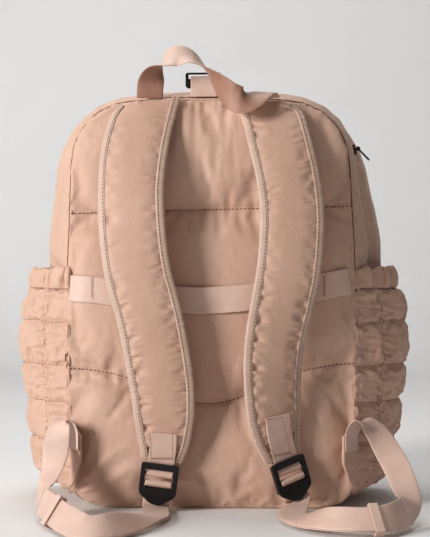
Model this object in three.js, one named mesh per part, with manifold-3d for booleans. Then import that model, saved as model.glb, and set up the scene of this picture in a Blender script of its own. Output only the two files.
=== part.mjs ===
// Quilted backpack, standing on its base and seen from its harness side.
// Millimetres, +Z up. X runs to the right across the back panel, and the harness side faces -Y.
// The origin is the middle of the base.
import * as THREE from 'three';
import { mergeVertices } from 'three/addons/utils/BufferGeometryUtils.js';
import Module from 'manifold-3d';

const wasm = await Module();
wasm.setup();

// Body
const HEIGHT = 396;
const HALF_WIDTH = 139;
const TOP_HALF = 74;
const TOP_CROWN = 4;
const CORNER_WIDE = 60;
const CORNER_TALL = 62;
const BASE_CORNER = 30;
const SIDE_TUCK = 4;
const LEAN = -3.2;
const DEPTH = 144;
const BACK_Y = -78;
const BULGE = 36;
const WALL = 5;
const GAP = 0.3;

// Panels
const PANEL_EDGE = 3;
const BACK_CROWN = 9;
const SEAM_DIP = 37;
const SEAM_SPREAD = 50;
const FRONT_CROWN = 14;
const CHANNEL_PUFF = 7;

// Zip
const ZIP_START = 0.31;
const ZIP_END = 0.35;
const ZIP_LOWEST = 0.25;
const TAPE_THICK = 1.4;
const PIN_RADIUS = 0.7;
const PULLER_LENGTH = 16;
const PULLER_TILT = 46;
const SLIDER_ROW = 0.875;

// Side pockets
const POCKET_BULGE = 60;
const POCKET_WALL = 5;
const POCKET_PUFF = 5.5;
const POCKET_EDGE = 2.6;
const POCKET_SEAT = 0.6;
const HEM_THICK = 3.6;
const HEM_RUFFLE = 1.1;
const RUFFLES = 13;

// Straps and webbing
const STRAP_WIDTH = 62;
const STRAP_THICK = 12;
const BINDING_WIDTH = 6.2;
const BINDING_THICK = 4.8;
const WEBBING = 25.4;
const WEBBING_THICK = 1.4;
const LAYER_STEP = 1.9;
const PATCH_LENGTH = 42;
const KEEPER_WIDTH = 9;
const KEEPER_ROOM = 0.9;

// Corner tabs
const TAB_THICK = 3;
const TAB_REACH = 24;
const TAB_TURN = 0.56;

// Ladder lock
const LOCK_HALF = 17.8;
const LOCK_TALL = 40;
const LOCK_PLATE = 2.6;
const LOCK_SILL = 16.5;
const LOCK_LINTEL = 34.2;
const LOCK_STAND = 4.2;
const LOCK_DROP = 2;
const RAIL_DEPTH = 2.4;
const RAIL_LENGTH = 27;
const RAIL_MIDDLE = 25;
const BAR_RADIUS = 1.5;
const BAR_A = { v: 29.5, n: -1.2 };
const BAR_B = { v: 20.5, n: 0 };

// Webbing through the lock, in the lock's frame: up its length and out of its face.
const PATCH_TUCK = [{ v: 39.5, n: -1.2 }, { v: 34.8, n: -1.2 }];
const PATCH_WRAP = { from: 70, to: 270 };
const PATCH_END = [{ v: 34, n: -3.8 }, { v: LOCK_TALL + 1.6, n: -3.9 }];
const THREAD_IN = [{ v: -1.5, n: -5.2 }, { v: 3, n: -4.9 }, { v: 12, n: -4.3 }, { v: 17, n: -3.1 }];
const THREAD_WRAP = { from: -80, to: 175 };
const THREAD_OUT = [
  { v: 17, n: -1.2 }, { v: 15.2, n: -1.65 }, { v: 11, n: -1.65 }, { v: 3, n: -2.1 }, { v: -1.5, n: -2.8 },
];

// Top ring
const RING_WIDE = 34.4;
const RING_TALL = 15;
const RING_THICK = 2.6;
const RING_BAR = 2.8;
const RING_BASE = 9;
const RING_X = -9;
const RING_Z = HEIGHT + 9.5;
const RING_Y = BACK_Y + 4;

const COLOURS = {
  cloth: 0xd6ab91,
  padding: 0xcf9f86,
  webbing: 0xd9c2b4,
  binding: 0xc9ac9b,
  plastic: 0x171617,
};

// Heights of the rows of the body, as shares of its height. Quilting lines of the pockets are rows.
const ROWS = [
  0, 0.0125, 0.033, 0.0556, 0.106, 0.1566, 0.206, 0.255, 0.3, 0.346, 0.403, 0.452, 0.495, 0.538, 0.583,
  0.656, 0.73, 0.783, 0.833, 0.876, 0.912, 0.942, 0.967, 0.985, 0.99,
];
const COLUMNS = 10;

// Bulge of the gusset beyond the seam at each height, as shares of BULGE.
const SIDE_BULGE = [
  { at: 0, left: 0, right: 0 },
  { at: 0.0125, left: 0.2, right: 0.2 },
  { at: 0.033, left: 0.39, right: 0.39 },
  { at: 0.0556, left: 0.56, right: 0.56 },
  { at: 0.106, left: 0.75, right: 0.75 },
  { at: 0.1566, left: 0.86, right: 0.86 },
  { at: 0.255, left: 0.94, right: 0.94 },
  { at: 0.538, left: 0.92, right: 0.9 },
  { at: 0.583, left: 0.97, right: 0.95 },
  { at: 0.656, left: 0.98, right: 0.96 },
  { at: 0.73, left: 0.88, right: 0.86 },
  { at: 0.833, left: 0.78, right: 0.62 },
  { at: 0.912, left: 0.6, right: 0.4 },
  { at: 1, left: 0.46, right: 0.5 },
];

// How the bulge rises from the back seam to the front seam. The dip is the zip.
const DEPTH_PROFILE = [
  { at: 0, rise: 0 },
  { at: 0.07, rise: 0.2 },
  { at: 0.18, rise: 0.42 },
  { at: ZIP_START, rise: 0.48 },
  { at: ZIP_END, rise: 0.5 },
  { at: 0.46, rise: 0.82 },
  { at: 0.62, rise: 1 },
  { at: 0.8, rise: 0.93 },
  { at: 0.92, rise: 0.68 },
  { at: 1, rise: 0.38 },
];
const TOP_FALL = 0.4;

// Swell of each panel row between its stitched seams.
const BACK_SWELL = [
  { at: 0, swell: 0 },
  { at: 0.033, swell: 0.5 },
  { at: 0.106, swell: 0.9 },
  { at: 0.206, swell: 1 },
  { at: 0.3, swell: 0.85 },
  { at: 0.346, swell: 0.35 },
  { at: 0.403, swell: 0.9 },
  { at: 0.538, swell: 1 },
  { at: 0.656, swell: 0.85 },
  { at: 0.73, swell: 0.35 },
  { at: 0.783, swell: 0.85 },
  { at: 0.876, swell: 0.8 },
  { at: 0.942, swell: 0.5 },
  { at: 0.99, swell: 0 },
];
const CURVED_SEAM_ROW = 0.346;
const FRONT_SEAMS = [0.1566, 0.3, 0.452, 0.583, 0.73, 0.876];

// Pocket wall in plan, from the back seam to the front seam, as shares of its bulge.
const POCKET_PLAN = [
  { at: 0.03, reach: 0.1 },
  { at: 0.15, reach: 0.52 },
  { at: 0.28, reach: 0.8 },
  { at: 0.43, reach: 0.96 },
  { at: 0.57, reach: 1 },
  { at: 0.71, reach: 0.97 },
  { at: 0.84, reach: 0.8 },
  { at: 0.92, reach: 0.64 },
  { at: 0.97, reach: 0.5 },
];
const POCKET_BULGES = [
  { at: 0.033, left: 0.5, right: 0.45 },
  { at: 0.0556, left: 0.74, right: 0.62 },
  { at: 0.106, left: 0.8, right: 0.7 },
  { at: 0.1566, left: 0.84, right: 0.75 },
  { at: 0.255, left: 0.88, right: 0.82 },
  { at: 0.346, left: 0.97, right: 0.92 },
  { at: 0.403, left: 1, right: 0.96 },
  { at: 0.452, left: 0.98, right: 0.95 },
  { at: 0.505, left: 0.92, right: 0.9 },
  { at: 0.538, left: 0.85, right: 0.79 },
  { at: 0.583, left: 0.79, right: 0.74 },
];
const POCKET_SEAMS = [0.033, 0.1566, 0.255, 0.346, 0.452, 0.538];
const POCKET_COLUMNS = [0.03, 0.15, 0.43, 0.71, 0.97];

// Shoulder straps: height, middle line, distance of the middle from the back seam, width and turn.
const LEFT_STRAP = [
  { z: 0.986, x: -0.44, out: 0.0425, wide: 1, thick: 0.3, turn: 0 },
  { z: 0.94, x: -0.484, out: 0.1, wide: 1.02, thick: 0.75, turn: 0 },
  { z: 0.855, x: -0.528, out: 0.2, wide: 1.04, thick: 1, turn: -4 },
  { z: 0.773, x: -0.542, out: 0.25, wide: 1.02, thick: 1, turn: -6 },
  { z: 0.711, x: -0.537, out: 0.275, wide: 1.02, thick: 1, turn: -6 },
  { z: 0.627, x: -0.516, out: 0.29, wide: 1.02, thick: 1, turn: -4 },
  { z: 0.562, x: -0.484, out: 0.295, wide: 1.01, thick: 1, turn: -2 },
  { z: 0.496, x: -0.432, out: 0.29, wide: 1, thick: 1, turn: 0 },
  { z: 0.432, x: -0.391, out: 0.28, wide: 1, thick: 1, turn: 0 },
  { z: 0.365, x: -0.358, out: 0.265, wide: 1, thick: 0.95, turn: 0 },
  { z: 0.3, x: -0.33, out: 0.25, wide: 0.98, thick: 0.9, turn: 0 },
  { z: 0.233, x: -0.318, out: 0.235, wide: 0.93, thick: 0.85, turn: 0 },
  { z: 0.172, x: -0.32, out: 0.218, wide: 0.8, thick: 0.7, turn: 0 },
  { z: 0.125, x: -0.338, out: 0.2, wide: 0.64, thick: 0.45, turn: 0 },
];
const RIGHT_STRAP = [
  { z: 0.986, x: 0.37, out: 0.0425, wide: 0.97, thick: 0.3, turn: 0 },
  { z: 0.944, x: 0.423, out: 0.1, wide: 0.97, thick: 0.75, turn: 0 },
  { z: 0.875, x: 0.473, out: 0.18, wide: 0.97, thick: 1, turn: 4 },
  { z: 0.813, x: 0.514, out: 0.23, wide: 0.97, thick: 1, turn: 6 },
  { z: 0.751, x: 0.54, out: 0.26, wide: 0.97, thick: 1, turn: 6 },
  { z: 0.69, x: 0.548, out: 0.28, wide: 0.97, thick: 1, turn: 6 },
  { z: 0.58, x: 0.525, out: 0.295, wide: 0.97, thick: 1, turn: 8 },
  { z: 0.496, x: 0.48, out: 0.29, wide: 0.96, thick: 1, turn: 12 },
  { z: 0.432, x: 0.443, out: 0.28, wide: 0.95, thick: 1, turn: 16 },
  { z: 0.365, x: 0.42, out: 0.27, wide: 0.94, thick: 0.95, turn: 20 },
  { z: 0.301, x: 0.418, out: 0.255, wide: 0.93, thick: 0.9, turn: 24 },
  { z: 0.234, x: 0.43, out: 0.24, wide: 0.9, thick: 0.85, turn: 26 },
  { z: 0.18, x: 0.452, out: 0.225, wide: 0.78, thick: 0.7, turn: 28 },
  { z: 0.135, x: 0.49, out: 0.21, wide: 0.64, thick: 0.45, turn: 28 },
];
const STRAP_STEPS = 19;
const STRAP_TOP_BLEND = 0.14;
const STRAP_TOP_SLOPE = 0.16;

// Webbing from its corner tab round to the buckle. Places are shares of HALF_WIDTH across and up and
// of DEPTH in front of the back seam; wx, wy and wz point across the webbing.
const RIGHT_WEBBING = [
  { x: 0.9565, y: 0.12, z: 0.42, wx: 0.53, wy: 0.85, wz: 0 },
  { x: 0.9565, y: 0.12, z: 0.52, wx: 0.53, wy: 0.85, wz: 0 },
  { x: 0.98, y: 0.13, z: 0.59, wx: 0.62, wy: 0.78, wz: -0.02 },
  { x: 1.03, y: 0.14, z: 0.618, wx: 0.76, wy: 0.64, wz: -0.06 },
  { x: 1.115, y: 0.155, z: 0.555, wx: 0.84, wy: 0.5, wz: 0.1 },
  { x: 1.19, y: 0.21, z: 0.435, wx: 0.93, wy: 0.2, wz: 0.26 },
  { x: 1.243, y: 0.28, z: 0.338, wx: 0.91, wy: 0.15, wz: 0.36 },
  { x: 1.282, y: 0.37, z: 0.242, wx: 0.87, wy: 0.35, wz: 0.3 },
  { x: 1.3, y: 0.49, z: 0.165, wx: 0.78, wy: 0.6, wz: 0.05 },
  { x: 1.283, y: 0.62, z: 0.128, wx: 0.6, wy: 0.45, wz: -0.5 },
  { x: 1.22, y: 0.775, z: 0.108, wx: 0.3, wy: -0.3, wz: -0.72 },
  { x: 1.11, y: 0.9, z: 0.102, wx: 0.12, wy: -0.66, wz: -0.7 },
  { x: 0.99, y: 0.93, z: 0.1, wx: 0, wy: -0.74, wz: -0.67 },
  { x: 0.863, y: 0.915, z: 0.1, wx: -0.12, wy: -0.74, wz: -0.67 },
  { x: 0.745, y: 0.845, z: 0.09, wx: -0.3, wy: -0.72, wz: -0.6 },
  { x: 0.635, y: 0.72, z: 0.062, wx: -0.68, wy: -0.6, wz: -0.4 },
  { x: 0.567, y: 0.57, z: 0.04, wx: -0.93, wy: -0.3, wz: -0.15 },
  { x: 0.54, y: 0.42, z: 0.03, wx: -1, wy: -0.05, wz: -0.02 },
];
const LEFT_WEBBING = [
  { x: -0.9575, y: 0.12, z: 0.42, wx: -0.53, wy: 0.85, wz: 0 },
  { x: -0.9575, y: 0.12, z: 0.53, wx: -0.53, wy: 0.85, wz: 0 },
  { x: -0.98, y: 0.129, z: 0.597, wx: -0.57, wy: 0.81, wz: -0.02 },
  { x: -1.028, y: 0.141, z: 0.616, wx: -0.76, wy: 0.64, wz: -0.03 },
  { x: -1.052, y: 0.175, z: 0.53, wx: -0.96, wy: 0.28, wz: 0 },
  { x: -1.056, y: 0.2, z: 0.455, wx: -0.99, wy: 0.1, wz: 0.04 },
  { x: -1.065, y: 0.255, z: 0.348, wx: -0.88, wy: 0.45, wz: 0.1 },
  { x: -1.085, y: 0.33, z: 0.25, wx: -0.66, wy: 0.74, wz: 0.1 },
  { x: -1.096, y: 0.43, z: 0.168, wx: -0.5, wy: 0.8, wz: -0.25 },
  { x: -1.07, y: 0.555, z: 0.132, wx: -0.38, wy: 0.2, wz: -0.85 },
  { x: -1.01, y: 0.7, z: 0.118, wx: -0.2, wy: -0.5, wz: -0.78 },
  { x: -0.92, y: 0.87, z: 0.1, wx: -0.1, wy: -0.72, wz: -0.66 },
  { x: -0.825, y: 1.02, z: 0.088, wx: -0.05, wy: -0.78, wz: -0.6 },
  { x: -0.735, y: 1.115, z: 0.078, wx: 0, wy: -0.8, wz: -0.6 },
  { x: -0.625, y: 1.105, z: 0.078, wx: 0.1, wy: -0.8, wz: -0.6 },
  { x: -0.525, y: 0.99, z: 0.075, wx: 0.35, wy: -0.76, wz: -0.55 },
  { x: -0.455, y: 0.84, z: 0.062, wx: 0.68, wy: -0.6, wz: -0.4 },
  { x: -0.395, y: 0.66, z: 0.045, wx: 0.92, wy: -0.35, wz: -0.18 },
  { x: -0.36, y: 0.5, z: 0.024, wx: 0.99, wy: -0.1, wz: -0.05 },
  { x: -0.352, y: 0.38, z: 0.014, wx: 1, wy: 0, wz: 0 },
];

// Carrying handle from its left foot to its right foot, its z counted from the bag's height.
const HANDLE = [
  { x: -0.435, y: 0.012, z: -0.0054, wx: 1, wy: 0, wz: 0.085 },
  { x: -0.43, y: 0.035, z: 0.0711, wx: 0.99, wy: 0.05, wz: 0.05 },
  { x: -0.4, y: 0.07, z: 0.1611, wx: 0.8, wy: 0.5, wz: 0.25 },
  { x: -0.32, y: 0.09, z: 0.2411, wx: 0.35, wy: 0.6, wz: 0.75 },
  { x: -0.24, y: 0.1, z: 0.2761, wx: 0.02, wy: 0.5, wz: 0.87 },
  { x: -0.155, y: 0.105, z: 0.2631, wx: 0, wy: 0.76, wz: 0.65 },
  { x: -0.085, y: 0.115, z: 0.2161, wx: 0.05, wy: 0.95, wz: 0.28 },
  { x: -0.03, y: 0.13, z: 0.1611, wx: 0, wy: 0.98, wz: -0.1 },
  { x: 0.03, y: 0.15, z: 0.0961, wx: -0.15, wy: 0.85, wz: -0.5 },
  { x: 0.09, y: 0.18, z: 0.0311, wx: -0.2, wy: 0.5, wz: -0.82 },
  { x: 0.15, y: 0.21, z: -0.0239, wx: -0.05, wy: 0.15, wz: -0.98 },
  { x: 0.21, y: 0.22, z: -0.0489, wx: 0.05, wy: -0.1, wz: -0.98 },
  { x: 0.27, y: 0.2, z: -0.0389, wx: 0.2, wy: -0.6, wz: -0.75 },
  { x: 0.33, y: 0.14, z: 0.0011, wx: 0.45, wy: -0.8, wz: -0.35 },
  { x: 0.367, y: 0.07, z: 0.0211, wx: 0.85, wy: -0.5, wz: -0.1 },
  { x: 0.378, y: 0.014, z: -0.0024, wx: 1, wy: -0.04, wz: -0.07 },
];

// Trolley band across the back panel, from the left seam to the right seam.
const BAND = [
  { x: -0.985, z: 1.524, off: 0 },
  { x: -0.8, z: 1.512, off: 0.5 },
  { x: -0.45, z: 1.465, off: 0.95 },
  { x: -0.05, z: 1.443, off: 1 },
  { x: 0.3, z: 1.468, off: 1 },
  { x: 0.6, z: 1.51, off: 0.9 },
  { x: 0.8, z: 1.548, off: 0.5 },
  { x: 0.945, z: 1.575, off: 0 },
];
const BAND_STAND = 6;

const vector = (x, y, z) => new THREE.Vector3(x, y, z);
const mix = THREE.MathUtils.lerp;

// Straight reading of one column of a table whose rows are ordered by the named key.
function read(rows, at, column, key = 'at') {
  let k = 0;
  while (k < rows.length - 2 && at > rows[k + 1][key]) k += 1;
  const share = (at - rows[k][key]) / (rows[k + 1][key] - rows[k][key]);
  return mix(rows[k][column], rows[k + 1][column], THREE.MathUtils.clamp(share, 0, 1));
}

// Makes a closed indexed geometry, turned so that its faces point out.
function closedGeometry(points, faces) {
  const position = points.flatMap((p) => [p.x, p.y, p.z]);
  let volume = 0;
  for (let k = 0; k < faces.length; k += 3) {
    const [a, b, c] = [points[faces[k]], points[faces[k + 1]], points[faces[k + 2]]];
    volume += a.dot(vector().crossVectors(b, c));
  }
  const geometry = new THREE.BufferGeometry();
  geometry.setAttribute('position', new THREE.Float32BufferAttribute(position, 3));
  geometry.setIndex(volume < 0 ? [...faces].reverse() : faces);
  geometry.computeVertexNormals();
  return geometry;
}

// A wall between two grids of points. Cells may be missing, and the grid may close on itself.
function wallBetween(outer, inner, wraps = false, missing = () => false) {
  const across = outer[0].length;
  const steps = wraps ? outer.length : outer.length - 1;
  const points = [...outer.flat(), ...inner.flat()];
  const under = outer.length * across;
  const index = (i, j) => (i % outer.length) * across + j;
  const present = (i, j) => {
    if (j < 0 || j > across - 2) return false;
    if (!wraps && (i < 0 || i >= steps)) return false;
    return !missing((i + steps) % steps, j);
  };
  const faces = [];
  const quad = (a, b, c, d) => faces.push(a, b, c, a, c, d);
  for (let i = 0; i < steps; i += 1) {
    for (let j = 0; j < across - 1; j += 1) {
      if (!present(i, j)) continue;
      const [a, b, c, d] = [index(i, j), index(i + 1, j), index(i + 1, j + 1), index(i, j + 1)];
      quad(a, b, c, d);
      quad(d + under, c + under, b + under, a + under);
      if (!present(i, j - 1)) quad(b, a, a + under, b + under);
      if (!present(i + 1, j)) quad(c, b, b + under, c + under);
      if (!present(i, j + 1)) quad(d, c, c + under, d + under);
      if (!present(i - 1, j)) quad(a, d, d + under, a + under);
    }
  }
  return closedGeometry(points, faces);
}

// A solid through rings of points, capped at its ends unless it closes on itself.
function solidThrough(rings, closes = false) {
  const around = rings[0].length;
  const steps = closes ? rings.length : rings.length - 1;
  const faces = [];
  for (let i = 0; i < steps; i += 1) {
    for (let k = 0; k < around; k += 1) {
      const a = i * around + k;
      const b = i * around + ((k + 1) % around);
      const c = ((i + 1) % rings.length) * around + ((k + 1) % around);
      const d = ((i + 1) % rings.length) * around + k;
      faces.push(a, b, c, a, c, d);
    }
  }
  if (!closes) {
    const last = (rings.length - 1) * around;
    for (let k = 1; k < around - 1; k += 1) {
      faces.push(0, k + 1, k, last, last + k, last + k + 1);
    }
  }
  return closedGeometry(rings.flat(), faces);
}

// Joins closed geometries into one.
function join(pieces) {
  const solids = pieces.map((piece) => {
    const bare = piece.clone();
    bare.deleteAttribute('normal');
    bare.deleteAttribute('uv');
    const merged = mergeVertices(bare, 1e-4);
    return new wasm.Manifold(new wasm.Mesh({
      numProp: 3,
      vertProperties: new Float32Array(merged.attributes.position.array),
      triVerts: new Uint32Array(merged.index.array),
    }));
  });
  const whole = solids.reduce((sum, solid) => sum.add(solid)).getMesh();
  const geometry = new THREE.BufferGeometry();
  geometry.setAttribute('position', new THREE.Float32BufferAttribute(whole.vertProperties, 3));
  geometry.setIndex([...whole.triVerts]);
  geometry.computeVertexNormals();
  return geometry;
}

// Half-width of the back seam's outline at a height.
function halfWidthAt(z) {
  const cornerTop = HEIGHT - TOP_CROWN;
  const cornerStart = cornerTop - CORNER_TALL;
  if (z < BASE_CORNER) {
    const rise = BASE_CORNER - z;
    return HALF_WIDTH - 2 - BASE_CORNER + Math.sqrt(BASE_CORNER ** 2 - rise ** 2);
  }
  if (z > cornerStart) {
    const climb = Math.min((z - cornerStart) / CORNER_TALL, 1);
    return TOP_HALF + CORNER_WIDE * Math.sqrt(1 - climb ** 2);
  }
  const share = (z - BASE_CORNER) / (cornerStart - BASE_CORNER);
  const straight = mix(HALF_WIDTH - 2, TOP_HALF + CORNER_WIDE, share);
  return straight + SIDE_TUCK * Math.sin(Math.PI * share ** 0.75);
}

const leanAt = (z) => (LEAN * z) / HEIGHT;

// The seam outline as a ring of stations: base, right side, top, left side.
function outlineStations() {
  const last = ROWS.length - 1;
  const stations = [];
  const baseHalf = halfWidthAt(0);
  for (let c = 0; c <= COLUMNS; c += 1) {
    stations.push({ x: mix(-baseHalf, baseHalf, c / COLUMNS), z: 0, row: 0, side: c / COLUMNS });
  }
  for (let r = 1; r < last; r += 1) {
    const z = ROWS[r] * HEIGHT;
    stations.push({ x: halfWidthAt(z) + leanAt(z), z, row: r, side: 1 });
  }
  for (let c = COLUMNS; c >= 0; c -= 1) {
    const side = c / COLUMNS;
    const z = HEIGHT - TOP_CROWN * (2 * side - 1) ** 2;
    stations.push({ x: mix(-TOP_HALF, TOP_HALF, side) + LEAN, z, row: last, side });
  }
  for (let r = last - 1; r > 0; r -= 1) {
    const z = ROWS[r] * HEIGHT;
    stations.push({ x: leanAt(z) - halfWidthAt(z), z, row: r, side: 0 });
  }
  stations.forEach((station, k) => {
    const before = stations[(k + stations.length - 1) % stations.length];
    const after = stations[(k + 1) % stations.length];
    const length = Math.hypot(after.x - before.x, after.z - before.z);
    station.nx = (after.z - before.z) / length;
    station.nz = (before.x - after.x) / length;
  });
  return stations;
}

const STATIONS = outlineStations();
const depthY = (share) => BACK_Y + DEPTH * share;

// A point of the gusset's outside, or inset from it.
function gussetPoint(station, share, inset = 0) {
  const up = station.z / HEIGHT;
  const bulge = BULGE * mix(read(SIDE_BULGE, up, 'left'), read(SIDE_BULGE, up, 'right'), station.side);
  const fall = BULGE * TOP_FALL * THREE.MathUtils.smoothstep(up, 0.8, 1) * share ** 2;
  const off = station.row === 0 ? 0 : bulge * read(DEPTH_PROFILE, share, 'rise') - fall;
  const floor = station.row === 0 || inset > 0 ? inset : 0;
  const x = station.x + station.nx * (off - inset);
  const z = station.row === 0 ? inset : Math.max(station.z + station.nz * (off - inset), floor);
  return vector(x, depthY(share), z);
}

const DEPTHS = DEPTH_PROFILE.map((row) => row.at);
const ZIP_CELL = DEPTHS.indexOf(ZIP_START);
const inZip = (station) => station.row > 0 && station.z >= ZIP_LOWEST * HEIGHT;
const zipCell = (i) => inZip(STATIONS[i]) && inZip(STATIONS[(i + 1) % STATIONS.length]);

function gusset() {
  const outer = STATIONS.map((station) => DEPTHS.map((share) => gussetPoint(station, share)));
  const inner = STATIONS.map((station) => DEPTHS.map((share) => gussetPoint(station, share, WALL)));
  return wallBetween(outer, inner, true, (i, j) => j === ZIP_CELL && zipCell(i));
}

// The zip's tape fills the slot, a little under the gusset's outside.
function zipTape() {
  const inside = STATIONS.filter(inZip);
  const shares = [ZIP_START + GAP / DEPTH, ZIP_END - GAP / DEPTH];
  const ends = [inside[0], inside[inside.length - 1]];
  const grid = (depth) => inside.map((station) => shares.map((share) => {
    const point = gussetPoint(station, share, depth);
    if (ends.includes(station)) point.z += GAP;
    return point;
  }));
  return wallBetween(grid(WALL / 2), grid(WALL / 2 + TAPE_THICK));
}

// A crowned plate whose edge follows the body's outline; its other side is flat.
function crownedPlate(share, facing, start, swellAt, warp) {
  const last = ROWS.length - 1;
  const edge = (row, side) => STATIONS.find((s) => s.row === row && s.side === side);
  const flatY = depthY(share) + facing * GAP;
  const outline = STATIONS.map((station) => gussetPoint(station, share));
  const points = [];
  ROWS.forEach((up, r) => {
    const left = gussetPoint(edge(r, 0), share);
    const right = gussetPoint(edge(r, 1), share);
    for (let c = 0; c <= COLUMNS; c += 1) {
      const side = c / COLUMNS;
      const place = r === 0 || r === last
        ? gussetPoint(STATIONS.find((s) => s.row === r && s.side === side), share)
        : left.clone().lerp(right, side);
      const across = 1 - Math.abs(2 * side - 1) ** 3;
      place.z -= warp(place.x, up) * across;
      place.y = flatY + facing * (start + swellAt(up, across));
      points.push(place);
    }
  });
  const faces = [];
  const index = (r, c) => r * (COLUMNS + 1) + c;
  for (let r = 0; r < last; r += 1) {
    for (let c = 0; c < COLUMNS; c += 1) {
      const [a, b] = [index(r, c), index(r, c + 1)];
      const [d, e] = [index(r + 1, c + 1), index(r + 1, c)];
      faces.push(a, b, d, a, d, e);
    }
  }
  const rim = STATIONS.map((station) => index(station.row, Math.round(station.side * COLUMNS)));
  const base = points.length;
  outline.forEach((point) => points.push(vector(point.x, flatY, point.z)));
  rim.forEach((corner, k) => {
    const next = (k + 1) % rim.length;
    faces.push(rim[next], corner, base + k, rim[next], base + k, base + next);
  });
  const flat = outline.map((point) => new THREE.Vector2(point.x, point.z));
  THREE.ShapeUtils.triangulateShape(flat, []).forEach(([a, b, c]) => {
    faces.push(base + c, base + b, base + a);
  });
  return closedGeometry(points, faces);
}

function backPanel() {
  const swell = (up, across) => BACK_CROWN * across ** 0.6 * read(BACK_SWELL, up, 'swell');
  const warp = (x, up) => {
    const dip = SEAM_DIP * Math.exp(-(((x + 3) / SEAM_SPREAD) ** 2) / 2);
    const near = up < CURVED_SEAM_ROW
      ? THREE.MathUtils.smoothstep(up, 0.02, CURVED_SEAM_ROW)
      : 1 - THREE.MathUtils.smoothstep(up, CURVED_SEAM_ROW, 0.62);
    return dip * near;
  };
  return crownedPlate(0, -1, PANEL_EDGE, swell, warp);
}

function frontPanel() {
  const swell = (up, across) => {
    const toSeam = Math.min(...FRONT_SEAMS.map((seam) => Math.abs(up - seam)));
    const channel = Math.min(toSeam / 0.045, 1) ** 0.5;
    const body = Math.min(up / 0.08, 1) * Math.min((0.99 - up) / 0.1, 1);
    return across * body * (FRONT_CROWN + CHANNEL_PUFF * channel);
  };
  return crownedPlate(1, 1, PANEL_EDGE, swell, () => 0);
}

// The gusset's outside at a height on one side, read from its faces.
function gussetSide(side, up, share) {
  let r = 1;
  while (r < ROWS.length - 3 && up > ROWS[r + 1]) r += 1;
  const rise = (up - ROWS[r]) / (ROWS[r + 1] - ROWS[r]);
  const at = (row) => gussetPoint(STATIONS.find((s) => s.row === row && s.side === side), share);
  return at(r).lerp(at(r + 1), rise);
}

// Lists a value's steps between knots, with the same number of steps in each stretch.
function stepsBetween(knots, count) {
  const values = [];
  for (let k = 0; k < knots.length - 1; k += 1) {
    for (let s = 0; s < count; s += 1) values.push(mix(knots[k], knots[k + 1], s / count));
  }
  return [...values, knots[knots.length - 1]];
}

// 0 on a seam and 1 between two seams.
function puffBetween(knots, at) {
  let k = 0;
  while (k < knots.length - 2 && at > knots[k + 1]) k += 1;
  const share = THREE.MathUtils.clamp((at - knots[k]) / (knots[k + 1] - knots[k]), 0, 1);
  return Math.sin(Math.PI * share) ** 0.7;
}

// Distance of a pocket's outside from the gusset, along X.
function pocketStand(side, up, share, puff) {
  const column = side === 1 ? 'right' : 'left';
  const body = gussetSide(side, up, share);
  const seam = halfWidthAt(up * HEIGHT);
  const reach = POCKET_BULGE * read(POCKET_BULGES, up, column) * read(POCKET_PLAN, share, 'reach');
  const beyond = Math.abs(body.x - leanAt(up * HEIGHT)) - seam;
  const edgeNear = Math.min((share - POCKET_COLUMNS[0]) / 0.08, (POCKET_COLUMNS[4] - share) / 0.05, 1);
  const baseNear = Math.min((up - POCKET_SEAMS[0]) / 0.05, 1);
  const near = Math.min(edgeNear, baseNear);
  const stand = mix(POCKET_EDGE, Math.max(reach - beyond, POCKET_EDGE), near ** 0.6);
  return { body, stand: stand + puff * near };
}

function sidePocket(side) {
  const outwards = side === 1 ? 1 : -1;
  const bodyRows = ROWS.filter((up) => up >= POCKET_SEAMS[0] && up <= POCKET_SEAMS[5]);
  const ups = stepsBetween(bodyRows, 2);
  const shares = stepsBetween(POCKET_COLUMNS, 3);
  const grid = (inner) => shares.map((share) => ups.map((up) => {
    const puff = POCKET_PUFF * (puffBetween(POCKET_SEAMS, up) * puffBetween(POCKET_COLUMNS, share) - 0.35);
    const { body, stand } = pocketStand(side, up, share, inner ? 0 : puff);
    const inside = Math.max(stand - POCKET_WALL, POCKET_SEAT);
    body.x += outwards * (inner ? inside : stand);
    return body;
  }));
  return wallBetween(grid(false), grid(true));
}

const HEM_TOP = 0.583;

// The gathered elastic hem above a pocket.
function pocketHem(side) {
  const outwards = side === 1 ? 1 : -1;
  const hemBase = POCKET_SEAMS[5] + GAP / HEIGHT;
  const ups = stepsBetween([hemBase, HEM_TOP], 3);
  const shares = stepsBetween([POCKET_COLUMNS[0], POCKET_COLUMNS[4]], RUFFLES * 2);
  const grid = (inner) => shares.map((share, i) => ups.map((up, j) => {
    const { body, stand } = pocketStand(side, up, share, 0);
    const gather = HEM_RUFFLE * Math.cos(i * Math.PI) * (j === 0 ? 0 : 1);
    const edge = Math.min(stand - POCKET_EDGE, 1);
    const outside = stand + gather * Math.max(edge, 0);
    body.x += outwards * (inner ? Math.max(stand - HEM_THICK, POCKET_SEAT) : outside);
    return body;
  }));
  return wallBetween(grid(false), grid(true));
}

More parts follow.
